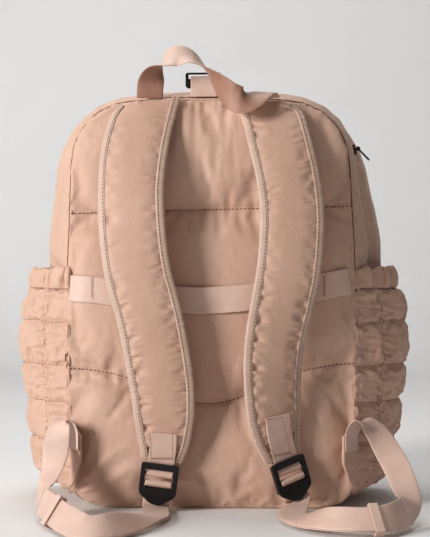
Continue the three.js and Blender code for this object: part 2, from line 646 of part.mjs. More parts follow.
// Middle line of a shoulder strap with its across and outward directions.
function strapLine(rows) {
  const seamWay = vector(1, 0, -Math.sign(rows[0].x) * STRAP_TOP_SLOPE).normalize();
  const place = (row) => vector(row.x * HALF_WIDTH, BACK_Y - row.out * DEPTH, row.z * HEIGHT);
  const curve = new THREE.CatmullRomCurve3(rows.map(place), false, 'centripetal');
  const line = [];
  for (let k = 0; k <= STRAP_STEPS; k += 1) {
    const t = k / STRAP_STEPS;
    const spot = t * (rows.length - 1);
    const low = Math.min(Math.floor(spot), rows.length - 2);
    const part = spot - low;
    const value = (column) => mix(rows[low][column], rows[low + 1][column], part);
    const along = curve.getTangent(t);
    const turn = THREE.MathUtils.degToRad(value('turn'));
    const across = vector(Math.cos(turn), Math.sin(turn), 0);
    across.addScaledVector(along, -across.dot(along)).normalize();
    across.lerp(seamWay, Math.max(1 - t / STRAP_TOP_BLEND, 0)).normalize();
    line.push({
      point: curve.getPoint(t),
      along,
      across,
      out: vector().crossVectors(along, across).normalize(),
      half: (STRAP_WIDTH * value('wide')) / 2,
      thick: (STRAP_THICK * value('thick')) / 2,
    });
  }
  return line;
}

// Points of a section, each given as a share across and a distance outwards.
function sectionAt(stop, section) {
  return section.map(([a, b]) => stop.point.clone()
    .addScaledVector(stop.across, a)
    .addScaledVector(stop.out, b));
}

function strap(line) {
  return solidThrough(line.map((stop) => {
    const half = stop.half - BINDING_WIDTH - GAP;
    const edge = Math.min(BINDING_THICK / 2, stop.thick * 0.8);
    const thick = stop.thick;
    return sectionAt(stop, [
      [-half, edge], [-half * 0.72, thick * 0.88], [0, thick], [half * 0.72, thick * 0.88], [half, edge],
      [half, -edge], [half * 0.72, -thick * 0.88], [0, -thick], [-half * 0.72, -thick * 0.88], [-half, -edge],
    ]);
  }));
}

function strapBinding(line, sign) {
  return solidThrough(line.map((stop) => {
    const outer = sign * stop.half;
    const inner = sign * (stop.half - BINDING_WIDTH);
    const edge = Math.min(BINDING_THICK / 2, stop.thick * 0.8);
    return sectionAt(stop, [
      [inner, edge], [mix(inner, outer, 0.7), edge], [outer, edge * 0.4],
      [outer, -edge * 0.4], [mix(inner, outer, 0.7), -edge], [inner, -edge],
    ]);
  }));
}

// A flat strip through stops that hold a point and a direction across.
function strip(stops, width, thick) {
  return solidThrough(stops.map(({ point, across, out }) => [
    [-width / 2, thick / 2], [width / 2, thick / 2], [width / 2, -thick / 2], [-width / 2, -thick / 2],
  ].map(([a, b]) => point.clone().addScaledVector(across, a).addScaledVector(out, b))));
}

// Fills in each stop's outward direction from the line's own run.
function faceOut(stops) {
  stops.forEach((stop, k) => {
    const before = stops[Math.max(k - 1, 0)].point;
    const after = stops[Math.min(k + 1, stops.length - 1)].point;
    const along = vector().subVectors(after, before).normalize();
    stop.across.addScaledVector(along, -stop.across.dot(along)).normalize();
    stop.out = vector().crossVectors(stop.across, along).normalize();
  });
  return stops;
}

// Smooth stops through a table of places and directions.
function smoothStops(rows, count, base = 0) {
  const place = (row) => vector(row.x * HALF_WIDTH, BACK_Y - row.y * DEPTH, base + row.z * HALF_WIDTH);
  const curve = new THREE.CatmullRomCurve3(rows.map(place), false, 'centripetal');
  const turning = new THREE.CatmullRomCurve3(rows.map((row) => vector(row.wx, row.wy, row.wz)));
  const stops = [];
  for (let k = 0; k <= count; k += 1) {
    stops.push({ point: curve.getPoint(k / count), across: turning.getPoint(k / count).normalize() });
  }
  return stops;
}

// The ladder lock's own frame hangs from the end of its strap.
function lockFrame(line) {
  const end = line[line.length - 1];
  const up = end.along.clone().negate();
  const origin = end.point.clone().addScaledVector(up, -LOCK_TALL - LOCK_DROP)
    .addScaledVector(end.out, LOCK_STAND);
  return new THREE.Matrix4().makeBasis(end.across, up, end.out).setPosition(origin);
}

function ladderLock() {
  const outline = new THREE.Shape();
  const window = new THREE.Path();
  const inner = LOCK_HALF - 4.4;
  outline.moveTo(-LOCK_HALF + 2.5, LOCK_TALL);
  outline.quadraticCurveTo(-LOCK_HALF, LOCK_TALL, -LOCK_HALF, LOCK_TALL - 2.5);
  outline.lineTo(-LOCK_HALF, 14);
  outline.quadraticCurveTo(-LOCK_HALF, 8.5, -11.5, 5.5);
  outline.quadraticCurveTo(-6, 0, 0, 0);
  outline.quadraticCurveTo(6, 0, 11.5, 5.5);
  outline.quadraticCurveTo(LOCK_HALF, 8.5, LOCK_HALF, 14);
  outline.lineTo(LOCK_HALF, LOCK_TALL - 2.5);
  outline.quadraticCurveTo(LOCK_HALF, LOCK_TALL, LOCK_HALF - 2.5, LOCK_TALL);
  window.moveTo(-inner, LOCK_SILL);
  window.lineTo(inner, LOCK_SILL);
  window.lineTo(inner, LOCK_LINTEL);
  window.lineTo(-inner, LOCK_LINTEL);
  outline.holes.push(window);
  const settings = { depth: LOCK_PLATE, bevelEnabled: false, curveSegments: 3 };
  const plate = new THREE.ExtrudeGeometry(outline, settings);
  const pieces = [plate];
  [-1, 1].forEach((sign) => {
    const rail = new THREE.BoxGeometry(LOCK_HALF - inner - 0.2, RAIL_LENGTH, RAIL_DEPTH + 0.4);
    rail.translate((sign * (LOCK_HALF + inner)) / 2, RAIL_MIDDLE, -RAIL_DEPTH / 2 + 0.2);
    pieces.push(rail);
  });
  [BAR_A, BAR_B].forEach(({ v, n }) => {
    const bar = new THREE.CylinderGeometry(BAR_RADIUS, BAR_RADIUS, 2 * inner + 3, 8);
    bar.rotateZ(Math.PI / 2);
    bar.translate(0, v, n);
    pieces.push(bar);
  });
  return join(pieces);
}

// Stops on an arc round a bar, in the lock's frame, from one angle to another.
function roundBar(bar, from, to, steps) {
  const radius = BAR_RADIUS + GAP + WEBBING_THICK / 2 + 0.05;
  const stops = [];
  for (let k = 0; k <= steps; k += 1) {
    const angle = THREE.MathUtils.degToRad(mix(from, to, k / steps));
    stops.push(vector(0, bar.v + radius * Math.cos(angle), bar.n + radius * Math.sin(angle)));
  }
  return stops;
}

function lockPoints(rows) {
  return rows.map(({ v, n }) => vector(0, v, n));
}

// The sewn patch on a strap's face, whose end loops round the lock's upper bar.
function strapPatch(line, frame) {
  const end = line[line.length - 1];
  const stops = [];
  line.forEach((stop) => {
    if (stop.point.distanceTo(end.point) > PATCH_LENGTH) return;
    const off = stop.thick + GAP + WEBBING_THICK / 2 + 0.2;
    stops.push({ point: stop.point.clone().addScaledVector(stop.out, off), across: stop.across.clone() });
  });
  const wrap = roundBar(BAR_A, PATCH_WRAP.from, PATCH_WRAP.to, 6);
  const hidden = [...lockPoints(PATCH_TUCK), ...wrap, ...lockPoints(PATCH_END)];
  hidden.forEach((point) => {
    stops.push({ point: point.applyMatrix4(frame), across: end.across.clone() });
  });
  return strip(faceOut(stops), WEBBING, WEBBING_THICK);
}

// Adjusting webbing: corner tab, floor, lock and back to its free end beside itself.
function adjustingWebbing(rows, frame, sign, tail) {
  const main = faceOut(smoothStops(rows, 40));
  const across = vector(-sign, 0, 0).transformDirection(frame);
  const wrap = roundBar(BAR_B, THREAD_WRAP.from, THREAD_WRAP.to, 8);
  const threaded = [...lockPoints(THREAD_IN), ...wrap, ...lockPoints(THREAD_OUT)]
    .map((point) => ({ point: point.applyMatrix4(frame), across: across.clone() }));
  const back = main.slice(tail.stop, -1).reverse().map((stop) => ({
    point: stop.point.clone().addScaledVector(stop.out, -sign * LAYER_STEP),
    across: stop.across.clone(),
  }));
  const end = back[back.length - 1];
  const onward = vector().subVectors(end.point, back[back.length - 2].point).setLength(tail.run);
  back.push({ point: end.point.clone().add(onward), across: end.across.clone() });
  return strip(faceOut([...main, ...threaded, ...back]), WEBBING, WEBBING_THICK);
}

// A small loop of webbing round both layers.
function keeper(rows, sign, at) {
  const main = faceOut(smoothStops(rows, 40));
  const stop = main[at];
  const along = vector().crossVectors(stop.out, stop.across);
  const centre = stop.point.clone().addScaledVector(stop.out, (-sign * LAYER_STEP) / 2);
  const halfA = WEBBING / 2 + KEEPER_ROOM;
  const halfB = (LAYER_STEP + WEBBING_THICK) / 2 + KEEPER_ROOM;
  const corners = [[-1, -1], [1, -1], [1, 1], [-1, 1]];
  const rings = corners.map(([a, b]) => [[0, -1], [0, 1], [1, 1], [1, -1]].map(([outer, end]) => centre.clone()
    .addScaledVector(stop.across, a * (halfA + outer * WEBBING_THICK))
    .addScaledVector(stop.out, b * (halfB + outer * WEBBING_THICK))
    .addScaledVector(along, (end * KEEPER_WIDTH) / 2)));
  return solidThrough(rings, true);
}

// Triangular fabric wing in the side seam, which the webbing comes out of.
function cornerTab(sign) {
  const rootX = sign * (HALF_WIDTH - 2);
  const heights = [0.14, 0.3, 0.45, 0.6].map((up) => up * HALF_WIDTH);
  const seatY = Math.min(...heights.map((z) => panelFace(rootX - (sign * TAB_THICK) / 2, z)));
  const root = vector(rootX, seatY - GAP - (TAB_THICK / 2) * Math.sin(TAB_TURN), 0);
  const reach = vector(-sign * TAB_REACH * Math.sin(TAB_TURN), -TAB_REACH * Math.cos(TAB_TURN), 0);
  const face = vector(sign * Math.cos(TAB_TURN), -Math.sin(TAB_TURN), 0);
  const edge = [[0, 0.6], [0, 0.14], [0.5, 0.2], [1, 0.34], [1, 0.52]].map(([out, up]) => root.clone()
    .addScaledVector(reach, out).setZ(up * HALF_WIDTH));
  return solidThrough([1, -1].map((way) => edge.map((p) => p.clone()
    .addScaledVector(face, (way * TAB_THICK) / 2))));
}

// Rectangular loop with a narrow window, and the tab folded through it.

function topRing() {
  const shape = new THREE.Shape();
  const half = RING_WIDE / 2;
  shape.moveTo(-half + 2, 0);
  shape.lineTo(half - 2, 0);
  shape.lineTo(half, 2);
  shape.lineTo(half, RING_TALL - 1.5);
  shape.lineTo(half - 1.5, RING_TALL);
  shape.lineTo(-half + 1.5, RING_TALL);
  shape.lineTo(-half, RING_TALL - 1.5);
  shape.lineTo(-half, 2);
  const window = new THREE.Path();
  window.moveTo(-half + RING_BAR, RING_BASE);
  window.lineTo(half - RING_BAR, RING_BASE);
  window.lineTo(half - RING_BAR, RING_TALL - 1.6);
  window.lineTo(-half + RING_BAR, RING_TALL - 1.6);
  shape.holes.push(window);
  const ring = new THREE.ExtrudeGeometry(shape, { depth: RING_THICK, bevelEnabled: false });
  ring.translate(0, 0, -RING_THICK / 2);
  ring.rotateX(Math.PI / 2);
  return ring;
}

function topTab() {
  const reach = RING_THICK / 2 + GAP + WEBBING_THICK / 2;
  const seam = -RING_Z + HEIGHT;
  const profile = [[-reach - 1.2, seam + 0.9], [-reach, 1], [-reach, RING_BASE - 1]];
  for (let k = 0; k <= 6; k += 1) {
    const angle = Math.PI * (1 - k / 6);
    profile.push([reach * Math.cos(angle), RING_BASE - 0.3 + reach * Math.sin(angle)]);
  }
  profile.push([reach, 1], [reach + 0.4, seam + 2.6]);
  const stops = profile.map(([y, z]) => ({ point: vector(0.6, y, z), across: vector(1, 0, 0) }));
  return strip(faceOut(stops), WEBBING, WEBBING_THICK);
}

// Outside of the back panel at a place, for what lies on it.
function panelFace(x, z) {
  const place = (((x - leanAt(z)) / halfWidthAt(z) + 1) / 2) * COLUMNS;
  const column = THREE.MathUtils.clamp(Math.floor(place), 0, COLUMNS - 1);
  const crown = (c) => (1 - Math.abs((2 * c) / COLUMNS - 1) ** 3) ** 0.6;
  const across = mix(crown(column), crown(column + 1), place - column);
  const swell = Math.max(read(BACK_SWELL, z / HEIGHT, 'swell'), 0.9);
  return BACK_Y - GAP - PANEL_EDGE - BACK_CROWN * across * swell;
}

function trolleyBand() {
  const curve = new THREE.CatmullRomCurve3(BAND.map((row) => {
    const [x, z] = [row.x * HALF_WIDTH, row.z * HALF_WIDTH];
    return vector(x, panelFace(x, z) - GAP - WEBBING_THICK / 2 - 0.4 - row.off * BAND_STAND, z);
  }), false, 'centripetal');
  const stops = curve.getPoints(22).map((point) => ({ point, across: vector(0, 0, 1) }));
  return strip(faceOut(stops), WEBBING, WEBBING_THICK);
}

// Zip slider with two ears and a pin, drawn lying on the zip with its outside up.
function zipSlider() {
  const body = new THREE.Shape();
  body.moveTo(-5, -2.4);
  body.lineTo(3, -3.6);
  body.lineTo(5, -3);
  body.lineTo(5, 3);
  body.lineTo(3, 3.6);
  body.lineTo(-5, 2.4);
  const pieces = [new THREE.ExtrudeGeometry(body, { depth: 3, bevelEnabled: false })];
  [-1, 1].forEach((sign) => {
    const ear = new THREE.BoxGeometry(2.6, 1, 4.4);
    ear.translate(0, sign * 2.6, 4.6);
    pieces.push(ear);
  });
  const pin = new THREE.CylinderGeometry(PIN_RADIUS, PIN_RADIUS, 5.4, 8);
  pin.translate(0, 0, 5.6);
  pieces.push(pin);
  return join(pieces);
}

function circlePoints(radius, sides = 12) {
  return Array.from({ length: sides }, (_, k) => new THREE.Vector2(
    radius * Math.cos((2 * Math.PI * k) / sides),
    radius * Math.sin((2 * Math.PI * k) / sides),
  ));
}

// Puller with an eye round the pin and an open loop, drawn along +X from the pin.
function zipPuller() {
  const thick = 1.3;
  const side = new THREE.Shape(circlePoints(PIN_RADIUS + 1.5));
  side.holes.push(new THREE.Path(circlePoints(PIN_RADIUS + 0.4, 9)));
  const eye = new THREE.ExtrudeGeometry(side, { depth: 3.2, bevelEnabled: false });
  eye.translate(0, 0, -1.6);
  eye.rotateX(Math.PI / 2);
  const blade = new THREE.Shape();
  blade.moveTo(1.7, -1.4);
  blade.lineTo(5, -2.4);
  blade.lineTo(PULLER_LENGTH - 1, -2.6);
  blade.lineTo(PULLER_LENGTH, -1.6);
  blade.lineTo(PULLER_LENGTH, 1.6);
  blade.lineTo(PULLER_LENGTH - 1, 2.6);
  blade.lineTo(5, 2.4);
  blade.lineTo(1.7, 1.4);
  const slot = new THREE.Path();
  slot.moveTo(5.6, -1.1);
  slot.lineTo(PULLER_LENGTH - 1.8, -1.2);
  slot.lineTo(PULLER_LENGTH - 1.8, 1.2);
  slot.lineTo(5.6, 1.1);
  blade.holes.push(slot);
  const plate = new THREE.ExtrudeGeometry(blade, { depth: thick, bevelEnabled: false });
  plate.translate(0, 0, -thick / 2);
  return join([eye, plate]);
}

const bag = new THREE.Group();
function finish(colour, roughness) {
  return new THREE.MeshStandardMaterial({ color: colour, roughness, metalness: 0 });
}

function add(name, geometry, colour, roughness = 0.85) {
  const mesh = new THREE.Mesh(geometry, finish(colour, roughness));
  mesh.name = name;
  bag.add(mesh);
  return mesh;
}

add('gusset', gusset(), COLOURS.cloth);
add('back_panel', backPanel(), COLOURS.padding);
add('front_panel', frontPanel(), COLOURS.cloth);
add('zip_tape', zipTape(), COLOURS.binding);

const SIDES = [
  {
    name: 'left', side: 0, sign: -1, strap: LEFT_STRAP, webbing: LEFT_WEBBING,
    tail: { stop: 20, run: 19 }, keeper: 22,
  },
  {
    name: 'right', side: 1, sign: 1, strap: RIGHT_STRAP, webbing: RIGHT_WEBBING,
    tail: { stop: 23, run: 6 }, keeper: 27,
  },
];
SIDES.forEach((half) => {
  const line = strapLine(half.strap);
  const frame = lockFrame(line);
  add(`side_pocket_${half.name}`, sidePocket(half.side), COLOURS.cloth);
  add(`pocket_hem_${half.name}`, pocketHem(half.side), COLOURS.cloth);
  add(`shoulder_strap_${half.name}`, strap(line), COLOURS.padding);
  add(`strap_binding_${half.name}_inner`, strapBinding(line, -half.sign), COLOURS.binding);
  add(`strap_binding_${half.name}_outer`, strapBinding(line, half.sign), COLOURS.binding);
  add(`strap_patch_${half.name}`, strapPatch(line, frame), COLOURS.webbing, 0.6);
  add(`buckle_${half.name}`, ladderLock(), COLOURS.plastic, 0.4).applyMatrix4(frame);
  const webbing = adjustingWebbing(half.webbing, frame, half.sign, half.tail);
  add(`webbing_${half.name}`, webbing, COLOURS.webbing, 0.6);
  add(`keeper_${half.name}`, keeper(half.webbing, half.sign, half.keeper), COLOURS.webbing, 0.6);
  add(`corner_tab_${half.name}`, cornerTab(half.sign), COLOURS.cloth);
});

const handleStops = faceOut(smoothStops(HANDLE, 44, HEIGHT));
add('top_handle', strip(handleStops, WEBBING, WEBBING_THICK), COLOURS.webbing, 0.6);
add('top_ring', topRing(), COLOURS.plastic, 0.4).position.set(RING_X, RING_Y, RING_Z);
add('top_tab', topTab(), COLOURS.webbing, 0.6).position.set(RING_X, RING_Y, RING_Z);
add('trolley_band', trolleyBand(), COLOURS.webbing, 0.6);

// The slider sits on the zip at the right-hand corner, and its puller hangs from the pin.
const seat = gussetSide(1, SLIDER_ROW, (ZIP_START + ZIP_END) / 2);
const below = gussetSide(1, SLIDER_ROW - 0.02, (ZIP_START + ZIP_END) / 2);
const down = vector().subVectors(below, seat).normalize();
const outward = vector().crossVectors(vector(0, 1, 0), down).multiplyScalar(-1);
if (outward.x < 0) outward.negate();
const sliderSide = vector().crossVectors(outward, down);
const sliderFrame = new THREE.Matrix4().makeBasis(down, sliderSide, outward)
  .setPosition(seat.clone().addScaledVector(outward, 2 * GAP));
add('zip_slider', zipSlider(), COLOURS.plastic, 0.4).applyMatrix4(sliderFrame);
const tilt = THREE.MathUtils.degToRad(PULLER_TILT);
const puller = add('zip_puller', zipPuller(), COLOURS.plastic, 0.4);
puller.position.copy(vector(0, 0, 5.6).applyMatrix4(sliderFrame));
puller.quaternion.setFromRotationMatrix(new THREE.Matrix4().makeBasis(
  vector(Math.cos(tilt), 0, -Math.sin(tilt)),
  vector(0, 1, 0),
  vector(Math.sin(tilt), 0, Math.cos(tilt)),
));

export default bag;
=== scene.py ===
import math

import bmesh
import bpy
import numpy as np
from mathutils import Matrix, Vector, noise
from mathutils.bvhtree import BVHTree


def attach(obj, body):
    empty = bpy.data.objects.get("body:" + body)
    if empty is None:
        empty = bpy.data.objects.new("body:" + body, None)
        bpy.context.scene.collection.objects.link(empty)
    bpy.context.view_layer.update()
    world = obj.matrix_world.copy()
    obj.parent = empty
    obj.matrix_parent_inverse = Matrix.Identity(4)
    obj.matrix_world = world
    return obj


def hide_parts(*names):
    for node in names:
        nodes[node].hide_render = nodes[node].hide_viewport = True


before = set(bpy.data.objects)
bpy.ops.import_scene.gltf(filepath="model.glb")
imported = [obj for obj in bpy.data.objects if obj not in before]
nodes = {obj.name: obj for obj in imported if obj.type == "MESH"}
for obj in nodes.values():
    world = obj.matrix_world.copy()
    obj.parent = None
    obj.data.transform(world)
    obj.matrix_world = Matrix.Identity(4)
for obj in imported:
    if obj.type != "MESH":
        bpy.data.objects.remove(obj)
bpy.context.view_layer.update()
scene = bpy.context.scene
mm = 0.001

# Sizes of the bag that the pieces share, in millimetres.
body = {
    "height": 396, "halfWidth": 139, "panelHalf": 140, "depth": 144, "backY": -78, "lean": -3.2,
    "webbing": 25.4, "webbingThick": 1.4, "layerStep": 1.9,
    "strapWidth": 62, "strapThick": 12, "bindingWidth": 6.2, "bindingThick": 4.8,
}
frontY = body["backY"] + body["depth"]


def srgb(hexColour):
    parts = [int(hexColour[k:k + 2], 16) / 255 for k in (1, 3, 5)]
    return tuple(p / 12.92 if p <= 0.04045 else ((p + 0.055) / 1.055) ** 2.4 for p in parts) + (1.0,)


def mixed(a, b, share):
    return a + (b - a) * share


def smooth(x, low, high):
    t = min(max((x - low) / (high - low), 0.0), 1.0)
    return t * t * (3 - 2 * t)


def wave(*place):
    return noise.noise(Vector(place))


def newObject(name, data):
    made = bpy.data.objects.new(name, data)
    scene.collection.objects.link(made)
    return made


# The camera stands level in front of the straps, a little to the right.
def makeCamera():
    view = {"lens": 90.3, "place": (56.7, -1376.8, 231), "target": (0, -78, 231), "shift": 0.0047}
    data = bpy.data.cameras.new("camera")
    data.lens = view["lens"]
    data.sensor_width = 36
    data.shift_x = view["shift"]
    data.clip_start = 0.05
    camera = newObject("camera", data)
    place = Vector(view["place"]) * mm
    camera.location = place
    direction = Vector(view["target"]) * mm - place
    camera.rotation_euler = direction.to_track_quat("-Z", "Y").to_euler()
    scene.camera = camera


makeCamera()


# Adds a shader node with its settings and links; a link to a whole node takes its first output.
def addNode(material, kind, links=None, **settings):
    tree = material.node_tree
    made = tree.nodes.new(kind)
    for name, value in settings.items():
        if name.startswith("in_"):
            socket = name[3:].replace("_", " ")
            made.inputs[int(socket) if socket.isdigit() else socket].default_value = value
        else:
            setattr(made, name, value)
    for name, source in (links or {}).items():
        tree.links.new(getattr(source, "outputs", [source])[0], made.inputs[name])
    return made


def newMaterial(name):
    material = bpy.data.materials.new(name)
    material.use_nodes = True
    shader = material.node_tree.nodes["Principled BSDF"]
    return material, shader


def ramp(material, source, stops):
    made = addNode(material, "ShaderNodeValToRGB", {"Fac": source})
    points = made.color_ramp.elements
    while len(points) < len(stops):
        points.new(0.5)
    for point, (at, colour) in zip(points, stops):
        point.position = at
        point.color = srgb(colour)
    return made


# Gives the surface its colour, its relief and its gloss.
def setSurface(material, shader, colour, relief=None, **values):
    link = material.node_tree.links.new
    link(colour.outputs[0], shader.inputs["Base Color"])
    if relief:
        link(relief.outputs[0], shader.inputs["Normal"])
    for name, value in values.items():
        shader.inputs[name.replace("_", " ")].default_value = value
    return material


# Creases drawn across a strap, stronger towards its bindings.
def addCrossCreases(material, under):
    settings = {"stretch": (0.035, 0.2, 1), "half": 26, "power": 1.6, "strength": 1.0, "distance": 0.003}
    strip = addNode(material, "ShaderNodeUVMap", uv_map="strip")
    drawn = addNode(material, "ShaderNodeMapping", {"Vector": strip}, in_Scale=settings["stretch"])
    cloud = addNode(material, "ShaderNodeTexNoise", {"Vector": drawn}, in_Scale=1, in_Detail=4,
                    in_Roughness=0.55, in_Distortion=0.5)
    split = addNode(material, "ShaderNodeSeparateXYZ", {"Vector": strip})
    away = addNode(material, "ShaderNodeMath", {0: split.outputs["X"]}, operation="ABSOLUTE")
    share = addNode(material, "ShaderNodeMath", {0: away}, operation="DIVIDE", in_1=settings["half"])
    grown = addNode(material, "ShaderNodeMath", {0: share}, operation="POWER", in_1=settings["power"])
    height = addNode(material, "ShaderNodeMath", {0: cloud, 1: grown}, operation="MULTIPLY")
    return addNode(material, "ShaderNodeBump", {"Height": height, "Normal": under},
                   in_Strength=settings["strength"], in_Distance=settings["distance"])


# Crinkled nylon: fine branching creases, a faint weave, a soft sheen.
def makeNylon(name, colours, crinkle=0.55, roughness=0.58, crosswise=False):
    material, shader = newMaterial(name)
    place = addNode(material, "ShaderNodeTexCoord").outputs["Object"]
    cloud = addNode(material, "ShaderNodeTexNoise", {"Vector": place}, in_Scale=18, in_Detail=5)
    tint = ramp(material, cloud, [(0.3, colours[0]), (0.7, colours[1])])
    creases = addNode(material, "ShaderNodeTexNoise", {"Vector": place}, in_Scale=75, in_Detail=7,
                      in_Roughness=0.6, in_Distortion=1.4)
    folds = addNode(material, "ShaderNodeTexNoise", {"Vector": place}, in_Scale=32, in_Detail=3, in_Distortion=0.8)
    drawn = addNode(material, "ShaderNodeMapping", {"Vector": place}, in_Scale=(1, 1, 0.12))
    weave = addNode(material, "ShaderNodeTexNoise", {"Vector": drawn}, in_Scale=900, in_Detail=3)
    low = addNode(material, "ShaderNodeBump", {"Height": folds}, in_Strength=0.4 * crinkle, in_Distance=0.004)
    middle = addNode(material, "ShaderNodeBump", {"Height": creases, "Normal": low}, in_Strength=0.6 * crinkle,
                     in_Distance=0.0018)
    fine = addNode(material, "ShaderNodeBump", {"Height": weave, "Normal": middle}, in_Strength=0.35,
                   in_Distance=0.0004)
    relief = addCrossCreases(material, fine) if crosswise else fine
    return setSurface(material, shader, tint, relief, Roughness=roughness, Sheen_Weight=0.25, Sheen_Roughness=0.45,
                      Sheen_Tint=srgb("#F4DCCB"), Specular_IOR_Level=0.35)


# Satin webbing: paler and pinker, with fine cross ribs and a silky highlight.
def makeSatin(name, colours, ribs):
    yarnWidth = 0.9
    material, shader = newMaterial(name)
    strip = addNode(material, "ShaderNodeUVMap", uv_map="strip")
    split = addNode(material, "ShaderNodeSeparateXYZ", {"Vector": strip})
    cloud = addNode(material, "ShaderNodeTexNoise", {"Vector": strip}, in_Scale=0.06, in_Detail=4)
    tint = ramp(material, cloud, [(0.3, colours[0]), (0.7, colours[1])])
    waves = []
    for axis, width in (("Y", ribs), ("X", yarnWidth)):
        turns = addNode(material, "ShaderNodeMath", {0: split.outputs[axis]}, operation="MULTIPLY",
                        in_1=2 * math.pi / width)
        waves.append(addNode(material, "ShaderNodeMath", {0: turns}, operation="SINE"))
    both = addNode(material, "ShaderNodeMath", {0: waves[0], 1: waves[1]}, operation="MULTIPLY")
    total = addNode(material, "ShaderNodeMath", {0: waves[0], 1: both}, operation="ADD")
    bump = addNode(material, "ShaderNodeBump", {"Height": total}, in_Strength=0.4, in_Distance=0.00014)
    return setSurface(material, shader, tint, bump, Roughness=0.36, Sheen_Weight=0.4, Sheen_Roughness=0.3,
                      Sheen_Tint=srgb("#FFF1E8"))


# Moulded black acetal with a fine grain.
def makePlastic(name):
    material, shader = newMaterial(name)
    place = addNode(material, "ShaderNodeTexCoord").outputs["Object"]
    grain = addNode(material, "ShaderNodeTexNoise", {"Vector": place}, in_Scale=2200, in_Detail=3)
    wear = addNode(material, "ShaderNodeTexNoise", {"Vector": place}, in_Scale=160, in_Detail=4)
    tint = ramp(material, wear, [(0.35, "#141415"), (0.75, "#232325")])
    bump = addNode(material, "ShaderNodeBump", {"Height": grain}, in_Strength=0.25, in_Distance=0.0002)
    return setSurface(material, shader, tint, bump, Roughness=0.36)


# Twisted sewing thread, or the zip's moulded coil: matt, with its colour broken up along the run.
def makeThread(name, colours):
    material, shader = newMaterial(name)
    place = addNode(material, "ShaderNodeTexCoord").outputs["Object"]
    twist = addNode(material, "ShaderNodeTexNoise", {"Vector": place}, in_Scale=900, in_Detail=2)
    tint = ramp(material, twist, [(0.3, colours[0]), (0.7, colours[1])])
    return setSurface(material, shader, tint, Roughness=0.6)


nylon = makeNylon("crinkled_nylon", ("#C7A592", "#CEAE9C"))
strapNylon = makeNylon("strap_nylon", ("#C2A08D", "#CAA997"), crinkle=0.45, crosswise=True)
liningNylon = makeNylon("zip_tape_weave", ("#A8826E", "#B48E79"), crinkle=0.2, roughness=0.7)
bindingTape = makeSatin("binding_tape", ("#C2A695", "#CDB3A3"), ribs=0.8)
satin = makeSatin("satin_webbing", ("#D2B3A5", "#DBBFB1"), ribs=1.3)
# A darker copy of the satin: painted shade for the handle's inner face.
satinShadedCopy = makeSatin("satin_webbing_painted_shade", ("#9C7664", "#A8816F"), ribs=1.3)
plastic = makePlastic("black_acetal")
darkThread = makeThread("binding_thread", ("#6F4A3A", "#815947"))
paleThread = makeThread("webbing_thread", ("#946B59", "#A47A68"))
coilPlastic = makeThread("zip_coil", ("#A9826D", "#BB937E"))
print("materials made")


# Curve through points with three neighbours either side, evenly numbered from 0 to 1.
class Spline:
    def __init__(self, points):
        self.points = [Vector(p) for p in points]

    def at(self, t):
        points = self.points
        last = len(points) - 1
        spot = last * min(max(t, 0.0), 1.0)
        k = min(int(spot), last - 1)
        weight = spot - k
        a, b = points[k], points[k + 1]
        before = points[k - 1] if k > 0 else a * 2 - b
        after = points[k + 2] if k + 2 <= last else b * 2 - a
        d0, d1, d2 = ((p - q).length_squared ** 0.25 for p, q in ((before, a), (a, b), (b, after)))
        if d1 < 1e-4:
            d1 = 1.0
        d0 = d0 if d0 > 1e-4 else d1
        d2 = d2 if d2 > 1e-4 else d1
        startWay = ((a - before) / d0 - (b - before) / (d0 + d1) + (b - a) / d1) * d1
        endWay = ((b - a) / d1 - (after - a) / (d1 + d2) + (after - b) / d2) * d1
        c2 = a * -3 + b * 3 - startWay * 2 - endWay
        c3 = a * 2 - b * 2 + startWay + endWay
        return a + startWay * weight + c2 * weight ** 2 + c3 * weight ** 3

    def tangent(self, t):
        return (self.at(min(t + 1e-4, 1)) - self.at(max(t - 1e-4, 0))).normalized()


strapPadding = (0.3, 0.75, 1, 1, 1, 1, 1, 1, 1, 0.95, 0.9, 0.85, 0.7, 0.45)

# Tables in shares: x, z of the half width (z of the height on straps), y and out of the depth.
leftStrap = {
    "z": (0.986, 0.94, 0.855, 0.773, 0.711, 0.627, 0.562, 0.496, 0.432, 0.365, 0.3, 0.233, 0.172, 0.125),
    "x": (-0.44, -0.484, -0.528, -0.542, -0.537, -0.516, -0.484, -0.432, -0.391, -0.358, -0.33, -0.318, -0.32,
          -0.338),
    "out": (0.0425, 0.1, 0.2, 0.25, 0.275, 0.29, 0.295, 0.29, 0.28, 0.265, 0.25, 0.235, 0.218, 0.2),
    "wide": (1, 1.02, 1.04, 1.02, 1.02, 1.02, 1.01, 1, 1, 1, 0.98, 0.93, 0.8, 0.64),
    "turn": (0, 0, -4, -6, -6, -4, -2, 0, 0, 0, 0, 0, 0, 0),
}
rightStrap = {
    "z": (0.986, 0.944, 0.875, 0.813, 0.751, 0.69, 0.58, 0.496, 0.432, 0.365, 0.301, 0.234, 0.18, 0.135),
    "x": (0.37, 0.423, 0.473, 0.514, 0.54, 0.548, 0.525, 0.48, 0.443, 0.42, 0.418, 0.43, 0.452, 0.49),
    "out": (0.0425, 0.1, 0.18, 0.23, 0.26, 0.28, 0.295, 0.29, 0.28, 0.27, 0.255, 0.24, 0.225, 0.21),
    "wide": (0.97, 0.97, 0.97, 0.97, 0.97, 0.97, 0.97, 0.96, 0.95, 0.94, 0.93, 0.9, 0.78, 0.64),
    "turn": (0, 0, 4, 6, 6, 6, 8, 12, 16, 20, 24, 26, 28, 28),
}
